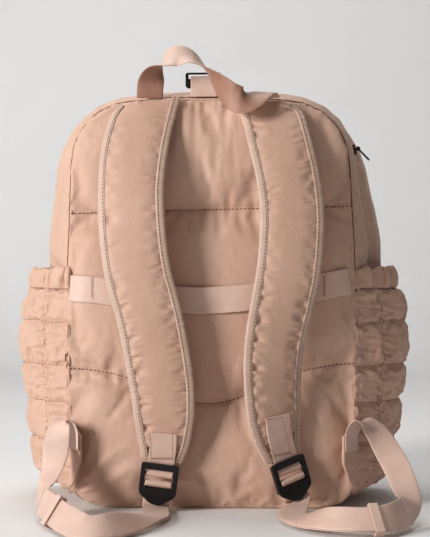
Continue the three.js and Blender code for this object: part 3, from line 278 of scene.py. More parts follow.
leftWebbing = {
    "x": (-0.9575, -0.9575, -0.98, -1.028, -1.052, -1.056, -1.065, -1.085, -1.096, -1.07, -1.01, -0.92, -0.825,
          -0.735, -0.625, -0.525, -0.455, -0.395, -0.36, -0.352),
    "y": (0.12, 0.12, 0.129, 0.141, 0.175, 0.2, 0.255, 0.33, 0.43, 0.555, 0.7, 0.87, 1.02, 1.115, 1.105, 0.99, 0.84,
          0.66, 0.5, 0.38),
    "z": (0.42, 0.53, 0.597, 0.616, 0.53, 0.455, 0.348, 0.25, 0.168, 0.132, 0.118, 0.1, 0.088, 0.078, 0.078, 0.075,
          0.062, 0.045, 0.024, 0.014),
    "wx": (-0.53, -0.53, -0.57, -0.76, -0.96, -0.99, -0.88, -0.66, -0.5, -0.38, -0.2, -0.1, -0.05, 0, 0.1, 0.35,
           0.68, 0.92, 0.99, 1),
    "wy": (0.85, 0.85, 0.81, 0.64, 0.28, 0.1, 0.45, 0.74, 0.8, 0.2, -0.5, -0.72, -0.78, -0.8, -0.8, -0.76, -0.6,
           -0.35, -0.1, 0),
    "wz": (0, 0, -0.02, -0.03, 0, 0.04, 0.1, 0.1, -0.25, -0.85, -0.78, -0.66, -0.6, -0.6, -0.6, -0.55, -0.4, -0.18,
           -0.05, 0),
}
rightWebbing = {
    "x": (0.9565, 0.9565, 0.98, 1.03, 1.115, 1.19, 1.243, 1.282, 1.3, 1.283, 1.22, 1.11, 0.99, 0.863, 0.745, 0.635,
          0.567, 0.54),
    "y": (0.12, 0.12, 0.13, 0.14, 0.155, 0.21, 0.28, 0.37, 0.49, 0.62, 0.775, 0.9, 0.93, 0.915, 0.845, 0.72, 0.57,
          0.42),
    "z": (0.42, 0.52, 0.59, 0.618, 0.555, 0.435, 0.338, 0.242, 0.165, 0.128, 0.108, 0.102, 0.1, 0.1, 0.09, 0.062,
          0.04, 0.03),
    "wx": (0.53, 0.53, 0.62, 0.76, 0.84, 0.93, 0.91, 0.87, 0.78, 0.6, 0.3, 0.12, 0, -0.12, -0.3, -0.68, -0.93, -1),
    "wy": (0.85, 0.85, 0.78, 0.64, 0.5, 0.2, 0.15, 0.35, 0.6, 0.45, -0.3, -0.66, -0.74, -0.74, -0.72, -0.6, -0.3,
           -0.05),
    "wz": (0, 0, -0.02, -0.06, 0.1, 0.26, 0.36, 0.3, 0.05, -0.5, -0.72, -0.7, -0.67, -0.67, -0.6, -0.4, -0.15,
           -0.02),
}
handleLine = {
    "x": (-0.435, -0.43, -0.4, -0.32, -0.24, -0.155, -0.085, -0.03, 0.03, 0.09, 0.15, 0.21, 0.27, 0.33, 0.367,
          0.378),
    "y": (0.012, 0.035, 0.07, 0.09, 0.1, 0.105, 0.115, 0.13, 0.15, 0.18, 0.21, 0.22, 0.2, 0.14, 0.07, 0.014),
    "z": (2.8435, 2.92, 3.01, 3.09, 3.125, 3.112, 3.065, 3.01, 2.945, 2.88, 2.825, 2.8, 2.81, 2.85, 2.87, 2.8465),
    "wx": (1, 0.99, 0.8, 0.35, 0.02, 0, 0.05, 0, -0.15, -0.2, -0.05, 0.05, 0.2, 0.45, 0.85, 1),
    "wy": (0, 0.05, 0.5, 0.6, 0.5, 0.76, 0.95, 0.98, 0.85, 0.5, 0.15, -0.1, -0.6, -0.8, -0.5, -0.04),
    "wz": (0.085, 0.05, 0.25, 0.75, 0.87, 0.65, 0.28, -0.1, -0.5, -0.82, -0.98, -0.98, -0.75, -0.35, -0.1, -0.07),
}
bandLine = {
    "x": (-0.985, -0.8, -0.45, -0.05, 0.3, 0.6, 0.8, 0.945),
    "z": (1.524, 1.512, 1.465, 1.443, 1.468, 1.51, 1.548, 1.575),
    "off": (0, 0.5, 0.95, 1, 1, 0.9, 0.5, 0),
}


def fromTable(line, keys, scales):
    offset = (0, body["backY"], 0)
    return [Vector([offset[k] + scales[k] * line[keys[k]][row] for k in range(3)]) for row in range(len(line["x"]))]


def faceOut(stops):
    for k, stop in enumerate(stops):
        along = (stops[min(k + 1, len(stops) - 1)]["point"] - stops[max(k - 1, 0)]["point"]).normalized()
        across = stop["across"]
        stop["across"] = (across - along * across.dot(along)).normalized()
        stop["along"] = along
        stop["out"] = stop["across"].cross(along).normalized()
    return stops


def smoothStops(line, count):
    half = body["halfWidth"]
    route = Spline(fromTable(line, "xyz", (half, -body["depth"], half)))
    turning = Spline([Vector(w) for w in zip(line["wx"], line["wy"], line["wz"])])
    return [{"point": route.at(k / count), "across": turning.at(k / count).normalized()} for k in range(count + 1)]


def readAt(row, spot):
    low = min(int(spot), len(row) - 2)
    return mixed(row[low], row[low + 1], spot - low)


# Cross directions and sizes along a shoulder strap, from its top seam to its buckle.
def strapStops(line, count):
    blend, slope = 0.14, 0.16
    scales = (body["halfWidth"], -body["depth"], body["height"])
    route = Spline(fromTable(line, ("x", "out", "z"), scales))
    seamWay = Vector((1, 0, -math.copysign(slope, line["x"][0]))).normalized()
    stops = []
    for k in range(count + 1):
        t = k / count
        spot = t * (len(line["x"]) - 1)
        turn = math.radians(readAt(line["turn"], spot))
        along = route.tangent(t)
        across = Vector((math.cos(turn), math.sin(turn), 0))
        across = (across - along * across.dot(along)).normalized()
        across = across.lerp(seamWay, max(1 - t / blend, 0)).normalized()
        stops.append({
            "point": route.at(t), "along": along, "across": across, "out": along.cross(across).normalized(),
            "half": body["strapWidth"] * readAt(line["wide"], spot) / 2,
            "thick": body["strapThick"] * readAt(strapPadding, spot) / 2,
        })
    return stops


def newMesh(name, verts, faces, material):
    mesh = bpy.data.meshes.new(name)
    mesh.from_pydata([tuple(Vector(v) * mm) for v in verts], [], faces)
    mesh.materials.append(material)
    mesh.shade_smooth()
    return mesh


# The strip map holds each point's place across and along a strip, for the weave.
def addStripMap(mesh, places):
    layer = mesh.uv_layers.new(name="strip")
    for loop in mesh.loops:
        layer.data[loop.index].uv = places[loop.vertex_index]


# Everything soft rides on the bag.
def settle(piece, cadNode=None):
    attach(piece, "bag")
    if cadNode:
        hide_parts(cadNode)


# A closed tube of sections, capped at both ends, with its run and its way round kept for the weave.
def loft(name, rings, runs, rounds, material, cadNode):
    count = len(rings[0])
    verts = [p for ring in rings for p in ring]
    faces = []
    for k in range(len(rings) - 1):
        for j in range(count):
            a, b = k * count + j, k * count + (j + 1) % count
            faces.append((a, b, b + count, a + count))
    faces.append(tuple(reversed(range(count))))
    faces.append(tuple(range(len(verts) - count, len(verts))))
    mesh = newMesh(name, verts, faces, material)
    mesh.update()
    addStripMap(mesh, [(rounds[j], runs[k]) for k in range(len(rings)) for j in range(count)])
    piece = newObject(name, mesh)
    settle(piece, cadNode)
    return piece


def runLengths(stops):
    runs = [0.0]
    for a, b in zip(stops, stops[1:]):
        runs.append(runs[-1] + (b["point"] - a["point"]).length)
    return runs


# A strip of webbing with rounded selvedges and a slight ripple.
def ribbon(name, stops, cadNode, ripple, seed, shadedFace=None):
    half, edge = body["webbing"] / 2, body["webbingThick"] / 2
    shares = (-1, -0.97, -0.9, -0.6, -0.3, 0, 0.3, 0.6, 0.9, 0.97, 1)
    low = [(s * half, -edge * (1 if abs(s) < 0.95 else 0.75 if abs(s) < 0.99 else 0.2)) for s in shares]
    section = low + [(a, -b) for a, b in reversed(low)]
    runs = runLengths(stops)
    rings = []
    for stop, run in zip(stops, runs):
        ring = []
        for a, b in section:
            ring.append(stop["point"] + stop["across"] * a
                        + stop["out"] * (b + wave(a * 0.05, run * 0.06, seed) * ripple))
        rings.append(ring)
    piece = loft(name, rings, runs, [a for a, _ in section], satin, cadNode)
    # The inner face takes the darker satin copy, as painted shade.
    if shadedFace:
        piece.data.materials.append(shadedFace)
        for face in piece.data.polygons[:(len(rings) - 1) * len(section)]:
            face.material_index = int(face.index % len(section) >= len(low))
    return piece


# Stitches along curves: short threads set at even steps, lying along the seam.
def stitchTree():
    tree = bpy.data.node_groups.new("stitch_run", "GeometryNodeTree")
    face = tree.interface
    face.new_socket("Curves", in_out="INPUT", socket_type="NodeSocketGeometry")
    for label, start in (("Spacing", 0.0038), ("Length", 0.0026), ("Radius", 0.0004)):
        face.new_socket(label, in_out="INPUT", socket_type="NodeSocketFloat").default_value = start
    face.new_socket("Thread", in_out="INPUT", socket_type="NodeSocketMaterial")
    face.new_socket("Stitches", in_out="OUTPUT", socket_type="NodeSocketGeometry")
    made = {}
    for key, kind in (("start", "NodeGroupInput"), ("end", "NodeGroupOutput"),
                      ("points", "GeometryNodeCurveToPoints"), ("ball", "GeometryNodeMeshUVSphere"),
                      ("size", "ShaderNodeCombineXYZ"), ("half", "ShaderNodeMath"),
                      ("shape", "GeometryNodeTransform"), ("turn", "FunctionNodeAlignRotationToVector"),
                      ("place", "GeometryNodeInstanceOnPoints"), ("real", "GeometryNodeRealizeInstances"),
                      ("paint", "GeometryNodeSetMaterial")):
        made[key] = tree.nodes.new(kind)
    made["points"].mode = "LENGTH"
    made["half"].operation = "MULTIPLY"
    made["half"].inputs[1].default_value = 0.5
    for label, value in (("Segments", 8), ("Rings", 5), ("Radius", 1)):
        made["ball"].inputs[label].default_value = value
    made["turn"].axis = "X"
    wires = (("start", "Curves", "points", "Curve"), ("start", "Spacing", "points", "Length"),
             ("start", "Length", "half", 0), ("half", 0, "size", "X"), ("start", "Radius", "size", "Y"),
             ("start", "Radius", "size", "Z"), ("ball", "Mesh", "shape", "Geometry"),
             ("size", "Vector", "shape", "Scale"), ("points", "Points", "place", "Points"),
             ("points", "Tangent", "turn", "Vector"), ("shape", "Geometry", "place", "Instance"),
             ("turn", "Rotation", "place", "Rotation"), ("place", "Instances", "real", "Geometry"),
             ("real", "Geometry", "paint", "Geometry"), ("start", "Thread", "paint", "Material"),
             ("paint", "Geometry", "end", "Stitches"))
    for source, output, target, entry in wires:
        tree.links.new(made[source].outputs[output], made[target].inputs[entry])
    return tree


stitches = stitchTree()


def applied(obj):
    graph = bpy.context.evaluated_depsgraph_get()
    return bpy.data.meshes.new_from_object(obj.evaluated_get(graph), depsgraph=graph)


def sew(name, runs, material, spacing=3.8, length=2.6, radius=0.4):
    data = bpy.data.curves.new(name, "CURVE")
    data.dimensions = "3D"
    for run in runs:
        spline = data.splines.new("POLY")
        spline.points.add(len(run) - 1)
        for point, place in zip(spline.points, run):
            point.co = (*(Vector(place) * mm), 1)
    line = newObject(name + "_line", data)
    tool = line.modifiers.new("stitches", "NODES")
    tool.node_group = stitches
    values = {"Spacing": spacing * mm, "Length": length * mm, "Radius": radius * mm, "Thread": material}
    for item in stitches.interface.items_tree:
        if item.name in values:
            tool[item.identifier] = values[item.name]
    mesh = applied(line)
    bpy.data.objects.remove(line)
    mesh.name = name
    mesh.shade_smooth()
    settle(newObject(name, mesh))


# Straps: a padded core between two gathered binding tapes.
def boundEdge(stop):
    return min(body["bindingThick"] / 2, stop["thick"] * 0.8)


def strapCore(name, line, seed):
    settings = {"steps": 400, "across": 28, "crease": 0.8, "pucker": 3.3, "pitch": 0.14, "slant": 3.2}
    stops = strapStops(line, settings["steps"])
    runs = runLengths(stops)
    rings, rounds = [], []
    for stop, run in zip(stops, runs):
        half = stop["half"] - body["bindingWidth"] + 0.6
        edge = boundEdge(stop) - 0.2
        ring, rounds = [], []
        for side in (1, -1):
            for j in range(settings["across"] + 1):
                share = (-1 + 2 * j / settings["across"]) * side
                swell = edge + (stop["thick"] - edge) * max(1 - abs(share) ** 3, 0) ** 0.72
                slanted = run + settings["slant"] * share * wave(run * 0.03, seed, side)
                hand = math.copysign(9, share)
                ridge = 1 - 2.6 * abs(wave(slanted * settings["pitch"], share * 0.7, seed + hand))
                fine = wave(slanted * 0.31, share * 1.5, seed + hand + side)
                near = smooth(abs(share), 0.35, 0.9) * (0.6 + 0.4 * smooth(run, 80, 260))
                hem = 1 - smooth(abs(share), 0.8, 0.94) * 0.95
                pull = (min(ridge, 0.75) * 0.75 + fine * 0.4 - 0.35) * settings["pucker"] * near * hem
                fold = abs(wave(run * 0.045, share * 0.8, seed + 7 * side))
                broad = fold * settings["crease"] * (1 - abs(share) ** 6)
                ring.append(stop["point"] + stop["across"] * (share * half)
                            + stop["out"] * side * (swell + pull - broad))
                rounds.append(share * half)
        rings.append(ring)
    piece = loft(name, rings, runs, rounds, strapNylon, name.replace("core_", ""))


def strapTape(name, line, sign, cadNode, seed):
    settings = {"overlap": 1.5, "climb": 1.3}
    stops = strapStops(line, 300)
    runs = runLengths(stops)
    rings = []
    corners = [(0, 0.72), (0.06, 1.0), (0.3, 1.06), (0.6, 1.06), (0.82, 0.9), (0.95, 0.6), (1, 0.25)]
    profile = corners + [(a, -b) for a, b in reversed(corners)]
    for stop, run in zip(stops, runs):
        inner = stop["half"] - body["bindingWidth"] - settings["overlap"]
        edge = boundEdge(stop)
        gather = wave(run * 0.28, 0, seed)
        ring = []
        for a, b in profile:
            lift = gather * 0.3 + wave(run * 0.5, a * 2, seed + 3 * b) * 0.14
            reach = inner + a * (body["bindingWidth"] + settings["overlap"] + 0.5 * gather * a)
            lift += settings["climb"] * (1 - smooth(a, 0, 0.5))
            ring.append(stop["point"] + stop["across"] * sign * reach
                        + stop["out"] * (b * edge + (lift if b > 0 else -lift)))
        rings.append(ring)
    loft(name, rings, runs, [a * 7 for a, _ in profile], bindingTape, cadNode)
    # The stitches' run.
    return [s["point"] + s["across"] * sign * (s["half"] - body["bindingWidth"] * 0.86)
            + s["out"] * (boundEdge(s) + 0.75) for s in stops]


sides = {"left": (leftStrap, leftWebbing, -1), "right": (rightStrap, rightWebbing, 1)}
seamRuns = []
for side, (strapTable, _, sign) in sides.items():
    strapCore(f"core_shoulder_strap_{side}", strapTable, 11 * sign + 0.43)
    for way, label in ((-sign, "inner"), (sign, "outer")):
        tapeNode = f"strap_binding_{side}_{label}"
        seamRuns.append(strapTape(f"tape_{side}_{label}", strapTable, way, tapeNode, way * 5 + sign))
sew("binding_stitches", seamRuns, darkThread, spacing=3.4, length=2.2, radius=0.36)
print("straps made")


# Fabric forms start from the body's own solids, remeshed evenly.
def evenCopy(name, node, voxel, smoothing, thicken=0):
    data = nodes[node].data.copy()
    grid = bmesh.new()
    grid.from_mesh(data)
    bmesh.ops.remove_doubles(grid, verts=grid.verts, dist=1e-6)
    grid.normal_update()
    for vert in grid.verts:
        if vert.normal.x * thicken < -0.3 * abs(thicken):
            vert.co.x -= thicken * mm
    grid.to_mesh(data)
    grid.free()
    data.materials.clear()
    piece = newObject(name + "_base", data)
    remesh = piece.modifiers.new("even", "REMESH")
    remesh.mode = "VOXEL"
    remesh.voxel_size = voxel * mm
    soften = piece.modifiers.new("soften", "SMOOTH")
    soften.iterations = smoothing
    soften.factor = 0.5
    mesh = applied(piece)
    bpy.data.objects.remove(piece)
    mesh.name = name
    return newObject(name, mesh)


def rowsOf(values, key):
    flat = np.empty(len(values) * 3)
    values.foreach_get(key, flat)
    return flat.reshape(-1, 3)


def coordsOf(piece):
    return rowsOf(piece.data.vertices, "co") / mm


def setCoords(piece, places):
    piece.data.vertices.foreach_set("co", (places * mm).ravel())
    piece.data.update()


def normalsOf(piece):
    return rowsOf(piece.data.vertex_normals, "vector")


clothSettings = {
    "quality": 6, "mass": 0.25, "tension_stiffness": 12, "compression_stiffness": 12, "shear_stiffness": 4,
    "bending_stiffness": 0.15, "use_pressure": True, "vertex_group_mass": "pinned",
}


# Blows a piece up between its pinned seams, with a little spare cloth, and limits how far it moves.
def inflate(piece, pinned, pressure, spare, cap, frames=20):
    start = coordsOf(piece)
    group = piece.vertex_groups.new(name="pinned")
    group.add([int(k) for k in np.nonzero(pinned)[0]], 1.0, "REPLACE")
    cloth = piece.modifiers.new("cloth", "CLOTH")
    tune = cloth.settings
    for label, value in clothSettings.items():
        setattr(tune, label, value)
    tune.uniform_pressure_force = pressure
    tune.shrink_min = tune.shrink_max = -spare
    tune.effector_weights.gravity = 0
    cloth.collision_settings.use_collision = False
    cloth.point_cache.frame_end = frames
    for at in range(1, frames + 1):
        scene.frame_set(at)
    swollen = applied(piece)
    moved = rowsOf(swollen.vertices, "co") / mm - start
    reach = np.linalg.norm(moved, axis=1)
    scale = np.minimum(1, cap / np.maximum(reach, 1e-6))
    piece.modifiers.remove(cloth)
    piece.vertex_groups.remove(group)
    setCoords(piece, start + moved * scale[:, None])
    scene.frame_set(1)


def subdivide(piece):
    finer = piece.modifiers.new("finer", "SUBSURF")
    finer.levels = finer.render_levels = 1
    mesh, old = applied(piece), piece.data
    piece.modifiers.clear()
    piece.data = mesh
    bpy.data.meshes.remove(old)


# Creases run out from the seams and fade towards the middle of each puff.
def crease(piece, toSeam, along, settings, folds=None, shown=None):
    places, normals = coordsOf(piece), normalsOf(piece)
    shift = np.zeros(len(places))
    for k, p in enumerate(places):
        if shown and not shown(normals[k]):
            continue
        gap = toSeam(p)
        groove = math.exp(-((gap / settings["groove"]) ** 2))
        run = along(p)
        pucker = wave(run * settings["often"], gap * 0.035, settings["seed"])
        if "sharp" in settings:
            pucker = abs(pucker) * 2.4 - settings["sharp"]
        fade = math.exp(-gap / settings["reach"]) * (1 - groove * 0.5)
        broad = noise.noise(Vector(p) * settings["broadScale"] + Vector((settings["seed"], 0, 0)))
        fine = noise.noise(Vector(p) * 0.16 + Vector((0, settings["seed"], 0)))
        shift[k] = (pucker * fade * settings["pucker"] - groove * settings["depth"]
                    - abs(broad) * settings["broad"] + fine * settings["fine"])
        if folds:
            shift[k] += folds(p)
    setCoords(piece, places + normals * shift[:, None])


def finishSoft(piece, material, cadNode):
    piece.data.shade_smooth()
    piece.data.materials.clear()
    piece.data.materials.append(material)
    settle(piece, cadNode)


def treeOf(piece):
    return BVHTree.FromPolygons([v.co / mm for v in piece.data.vertices],
                                [tuple(p.vertices) for p in piece.data.polygons])


# What is met first at x, z, looking from the straps' side.
def frontHit(tree, x, z, start=-200, reach=1000):
    return tree.ray_cast(Vector((x, start, z)), Vector((0, 1, 0)), reach)[0]


# Points where rays from all round meet a piece, each with its way out.
def metAllRound(tree, centre, start, end, steps):
    met = []
    for k in range(steps):
        turn = math.radians(mixed(start, end, k / (steps - 1)))
        way = Vector((math.cos(turn), 0, math.sin(turn)))
        hit = tree.ray_cast(centre + way * 400, -way)[0]
        if hit:
            met.append((hit, way))
    return met


# Back panel: a straight seam above, a dipping one below, drag folds under the top tab.
def upperSeam(x):
    return 287.5 + 0.024 * x


def lowerSeam(x):
    return 138 + 0.02 * x - 37 * math.exp(-(((x + 3) / 50) ** 2) / 2)


def seamGap(p):
    return min(abs(p[2] - upperSeam(p[0])), abs(p[2] - lowerSeam(p[0])))


# How far a point lies inside the panel's upright rims, which lean a little.
def rimGap(p):
    return body["panelHalf"] - abs(p[0] - body["lean"] * p[2] / body["height"])


# Widens a panel a little so that its rim meets the cloth beside it.
def spread(piece, by):
    places = coordsOf(piece)
    middle = (places.max(axis=0) + places.min(axis=0)) / 2
    half = (places.max(axis=0) - places.min(axis=0)) / 2
    places[:, 0] = middle[0] + (places[:, 0] - middle[0]) * (1 + by / half[0])
    upper = places[:, 2] > middle[2]
    places[upper, 2] = middle[2] + (places[upper, 2] - middle[2]) * (1 + by / half[2])
    setCoords(piece, places)


def makeBackPanel():
    piece = evenCopy("quilted_back", "back_panel", 4, 5)
    places = coordsOf(piece)
    seams = [seamGap(p) for p in places]
    pinned = (places[:, 1] > body["backY"] - 2.2) | (np.array(seams) < 2.6)
    inflate(piece, pinned, pressure=2.2, spare=0.035, cap=5)
    subdivide(piece)

    def toSeam(p):
        rim = min(rimGap(p), max(body["height"] - p[2], 0), p[2])
        return max(min(seamGap(p), rim + 0.6), 0)

    # Folds hang from the top tab and fan out of the lower left corner.
    def folds(p):
        hanging = abs(wave(p[0] * 0.11, p[2] * 0.013, 8.3))
        hang = math.exp(-((p[0] + 6) / 34) ** 2) * smooth(p[2], 296, 345)
        gathers = wave(p[0] * 0.2, p[2] * 0.02, 3.1) * smooth(p[2], 366, 390)
        right, up = p[0] + 150, p[2] - 4
        away = math.hypot(right, up)
        fan = abs(wave(math.atan2(up, right) * 4.5, away * 0.012, 5.7))
        wide = smooth(away, 12, 40) * (1 - smooth(away, 60, 105))
        return -hanging * 3.2 * hang + gathers * 1.3 - fan * 3.6 * wide

    def along(p):
        return p[2] if rimGap(p) < seamGap(p) and p[2] < 370 else p[0]

    crease(piece, toSeam, along,
           {"groove": 2.2, "depth": 2.1, "often": 0.14, "reach": 9, "pucker": 2.3, "broad": 1.5,
            "broadScale": 0.017, "fine": 0.2, "seed": 4.2}, folds=folds)
    spread(piece, 1.8)
    finishSoft(piece, nylon, "back_panel")
    return piece


backTree = treeOf(makeBackPanel())
print("back panel made")


def onBack(x, z, lift=0.15):
    hit = frontHit(backTree, x, z)
    return hit - Vector((0, lift, 0)) if hit else Vector((x, -82, z))


sew("back_seam_stitches", [[onBack(x, upperSeam(x)) for x in np.linspace(-136, 133, 160)],
                           [onBack(x, lowerSeam(x)) for x in np.linspace(-137, 135, 180)]],
    darkThread, spacing=3.9, length=2.8, radius=0.58)


# Side pockets: quilted blocks between level seams and three upright ones.
pocketSeams = [share * body["height"] for share in (0.033, 0.1566, 0.255, 0.346, 0.452, 0.538)]
pocketColumns = [body["backY"] + share * body["depth"] for share in (0.15, 0.43, 0.71)]


# The seams wander a little, as sewing over filling does.
def rowWander(y, k):
    return 2.4 * wave(y * 0.075, k * 3.7, 0.4)


def columnWander(z, k):
    return 2.4 * wave(z * 0.06, k * 5.1, 2.4)


# The gaps to the nearest level seam and to the nearest upright one.
def pocketGaps(p):
    return (min(abs(p[2] - seam - rowWander(p[1], k)) for k, seam in enumerate(pocketSeams)),
            min(abs(p[1] - seam - columnWander(p[2], k)) for k, seam in enumerate(pocketColumns)))


# Rolls a pocket's back edge in to the panel's rim.
def meetPanel(piece, sign, reach=7.5, roll=6.5):
    places = coordsOf(piece)
    for k, p in enumerate(places):
        raised = smooth(p[2], 8, 30)
        places[k][1] -= reach * (1 - smooth(p[1], body["backY"] + 3, body["backY"] + 26)) * raised
        places[k][0] -= sign * roll * (1 - smooth(p[1], body["backY"] + 4, body["backY"] + 14)) ** 1.5 * raised
    setCoords(piece, places)


def makePocket(side, sign):
    piece = evenCopy(f"quilted_pocket_{side}", f"side_pocket_{side}", 2.3, 2, thicken=1.6 * sign)
    tree = treeOf(piece)
    places = coordsOf(piece)
    pinned = np.zeros(len(places), bool)
    for k, p in enumerate(places):
        behind = tree.ray_cast(Vector(p) + Vector((sign * 0.6, 0, 0)), Vector((sign, 0, 0)), 14)[0] is not None
        row, column = pocketGaps(p)
        rim = min(p[1] - body["backY"], frontY - 4 - p[1])
        pinned[k] = behind or row < 1.5 or column < 1.3 or rim < 5 or p[2] > 226
    inflate(piece, pinned, pressure=8, spare=0.08, cap=5.5, frames=16)
    subdivide(piece)

    def gaps(p):
        row, column = pocketGaps(p)
        return row, column + 0.8

    # Where seams cross, the groove is filled up again.
    def crossed(p):
        row, column = gaps(p)
        return 1.5 * math.exp(-(max(row, column) / 3.5) ** 2)

    def along(p):
        row, column = gaps(p)
        return p[2] + p[1] * 0.35 if column < row else p[1] + p[2] * 0.35

    crease(piece, lambda p: min(gaps(p)), along,
           {"groove": 2.6, "depth": 2.0, "often": 0.23, "reach": 8, "pucker": 2.4, "broad": 1.0,
            "broadScale": 0.04, "fine": 0.2, "seed": 9.37 + sign, "sharp": 0.45}, folds=crossed,
           shown=lambda n: n[0] * sign > -0.1)
    meetPanel(piece, sign)
    finishSoft(piece, nylon, f"side_pocket_{side}")
    pocketTree = treeOf(piece)

    def onPocket(y, z):
        hit = pocketTree.ray_cast(Vector((sign * 260, y, z)), Vector((-sign, 0, 0)))[0]
        return hit + Vector((sign * 0.15, 0, 0)) if hit else None

    rows, columns = np.linspace(-82, 57, 110), np.linspace(20, 208, 130)
    runs = [[onPocket(y, pocketSeams[k] + rowWander(y, k)) for y in rows] for k in range(1, 5)]
    runs += [[onPocket(pocketColumns[k] + columnWander(z, k), z) for z in columns] for k in range(3)]
    sew(f"pocket_stitches_{side}", [[p for p in run if p] for run in runs], darkThread, spacing=4.2, length=2.6,
        radius=0.42)


def makeHem(side, sign):
    piece = evenCopy(f"gathered_hem_{side}", f"pocket_hem_{side}", 1.2, 2)
    places, normals = coordsOf(piece), normalsOf(piece)
    low, high = places[:, 2].min(), places[:, 2].max()
    for k, p in enumerate(places):
        up = (p[2] - low) / (high - low)
        ruffle = abs(wave(p[1] * 0.16 + up * 0.25, up * 0.3, 3.37 * sign)) - 0.2
        small = wave(p[1] * 0.5, up * 0.6, 5.61 * sign)
        swell = math.sin(math.pi * min(max(up, 0), 1)) ** 0.6
        outside = 1 if normals[k][0] * sign > -0.1 else 0.3
        move = (ruffle * 8.5 + small * 1.5 + 0.8) * swell * outside - 0.7 * (1 - swell)
        places[k] += normals[k] * move
        places[k][2] += (ruffle * 5 + small) * smooth(up, 0.55, 1) - 2.6 * (1 - smooth(up, 0, 0.3))
    setCoords(piece, places)
    meetPanel(piece, sign)
    finishSoft(piece, nylon, f"pocket_hem_{side}")


for side, sign in (("left", -1), ("right", 1)):
    makePocket(side, sign)
    makeHem(side, sign)
print("pockets made")


# Front panel: level quilting.
frontSeams = [share * body["height"] for share in (0.1566, 0.3, 0.452, 0.583, 0.73, 0.876)]


def makeFront():
    piece = evenCopy("quilted_front", "front_panel", 4.4, 4)
    places = coordsOf(piece)
    seam = np.min([np.abs(places[:, 2] - z) for z in frontSeams], axis=0)
    pinned = (places[:, 1] < frontY + 3) | (seam < 2.6)
    inflate(piece, pinned, pressure=3.0, spare=0.05, cap=6)
    subdivide(piece)
    crease(piece, lambda p: min(abs(p[2] - z) for z in frontSeams), lambda p: p[0],
           {"groove": 2.6, "depth": 1.2, "often": 0.12, "reach": 12, "pucker": 1.8, "broad": 1.0,
            "broadScale": 0.02, "fine": 0.25, "seed": 2.5, "sharp": 0.45})
    spread(piece, 2.6)
    places = coordsOf(piece)
    # Its back edge is pulled over the gusset's rim.
    places[:, 1] -= 3.0 * np.exp(-((places[:, 1] - frontY) / 5) ** 2)
    setCoords(piece, places)
    finishSoft(piece, nylon, "front_panel")


makeFront()
print("front panel made")


# Gusset: one skin round the bag with a slot that takes the zip.
zipSlot = {"start": 0.31, "end": 0.35}
zipFrom, zipTo = (body["backY"] + zipSlot[edge] * body["depth"] for edge in ("start", "end"))


def makeGusset():
    settings = {"middle": 200, "radius": 170, "pucker": 2.8, "reach": 13, "broad": 2.2, "ditch": 1.2,
                "frontDitch": 0.3, "crown": 4.6, "backRim": 1.9, "frontRim": 2.6}
    piece = evenCopy("gusset_cloth", "gusset", 2.6, 3)
    places, normals = coordsOf(piece), normalsOf(piece)
    shift = []
    for p in places:
        toZip = min(abs(p[1] - zipFrom), abs(p[1] - zipTo))
        toRim = min(abs(p[1] - body["backY"]), abs(frontY - p[1]))
        around = math.atan2(p[2] - settings["middle"], p[0]) * settings["radius"]
        edge = math.exp(-min(toRim, toZip) / settings["reach"])
        gather = abs(wave(around * 0.1 + p[1] * 0.05, p[1] * 0.02, 1.5)) * 2.4 - 0.5
        pucker = gather * settings["pucker"] * edge * smooth(toRim, 1, 6)
        broad = abs(wave(around * 0.013, p[1] * 0.03, 6.1)) * settings["broad"]
        floor = smooth(p[2], 2, 24)
        ditch = settings["ditch"] * math.exp(-((toRim - 3.5) / 1.8) ** 2)
        share = min(max((p[1] - body["backY"]) / body["depth"], 0), 1)
        clear = 1 - math.exp(-(toZip / 12) ** 2)
        crown = settings["crown"] * smooth(p[2], 290, 392) * math.sin(math.pi * share) ** 0.6 * clear
        if p[1] > 40:
            ditch *= settings["frontDitch"]
        shift.append((pucker + crown - broad - ditch) * floor)
    # The lips of the zip's slot rise with the cloth, but aren't pushed over the tape.
    slotEdge = np.minimum(np.abs(places[:, 1] - zipFrom), np.abs(places[:, 1] - zipTo))
    normals[:, 1] *= np.clip(slotEdge / 6, 0, 1)
    places += normals * np.array(shift)[:, None]
    places[:, 1] -= settings["backRim"] * np.exp(-((places[:, 1] - body["backY"]) / 4) ** 2)
    places[:, 1] += settings["frontRim"] * np.exp(-((places[:, 1] - frontY) / 4) ** 2)
    setCoords(piece, places)
    finishSoft(piece, nylon, "gusset")
    return treeOf(piece)


gussetTree = makeGusset()


# The seam between panel and gusset: a dense dark sewn line round the panel, partly the seam's thread and partly
# painted shadow in the seam.
def panelSeamShadowLine():
    settings = {"centre": Vector((0, -78.8, 190)), "start": -62, "end": 242, "steps": 640,
                "out": 1.3, "proud": 0.25}
    rimTree = treeOf(nodes["back_panel"])
    run = []
    for rim, way in metAllRound(rimTree, settings["centre"], settings["start"], settings["end"], settings["steps"]):
        spot = rim + way * settings["out"]
        fronts = [frontHit(tree, spot[0], spot[2], reach=140) for tree in (backTree, gussetTree)]
        if any(fronts):
            nearest = min(hit[1] for hit in fronts if hit)
            run.append(Vector((spot[0], nearest - settings["proud"], spot[2])))
    # Overlapping dark stitches make an unbroken line: thread plus painted shadow.
    sew("panel_seam_painted_shadow", [run], darkThread, spacing=1.5, length=2.1, radius=0.7)


panelSeamShadowLine()
print("gusset made")


# Ribbons: carrying handle, adjusting webbing and trolley band.
def makeHandle():
    stops = faceOut(smoothStops(handleLine, 150))
    # The handle's inner face gets painted shade from the darker satin copy.
    ribbon("handle_ribbon", stops, "top_handle", ripple=0.3, seed=1.3, shadedFace=satinShadedCopy)


# A lock's own frame hangs from the strap's end; heights and depths are counted in it.
lock = {
    "out": 4.2, "drop": 42, "barRadius": 1.5, "barRoom": 0.35, "lower": (20.5, 0),
    "under": ((0, -1.5, -5.2), (0, 3, -4.9), (0, 12, -4.3), (0, 17, -3.1)),
    "over": ((0, 17, -1.2), (0, 15.2, -1.65), (0, 11, -1.65), (0, 3, -2.1), (0, -1.5, -2.8)),
}


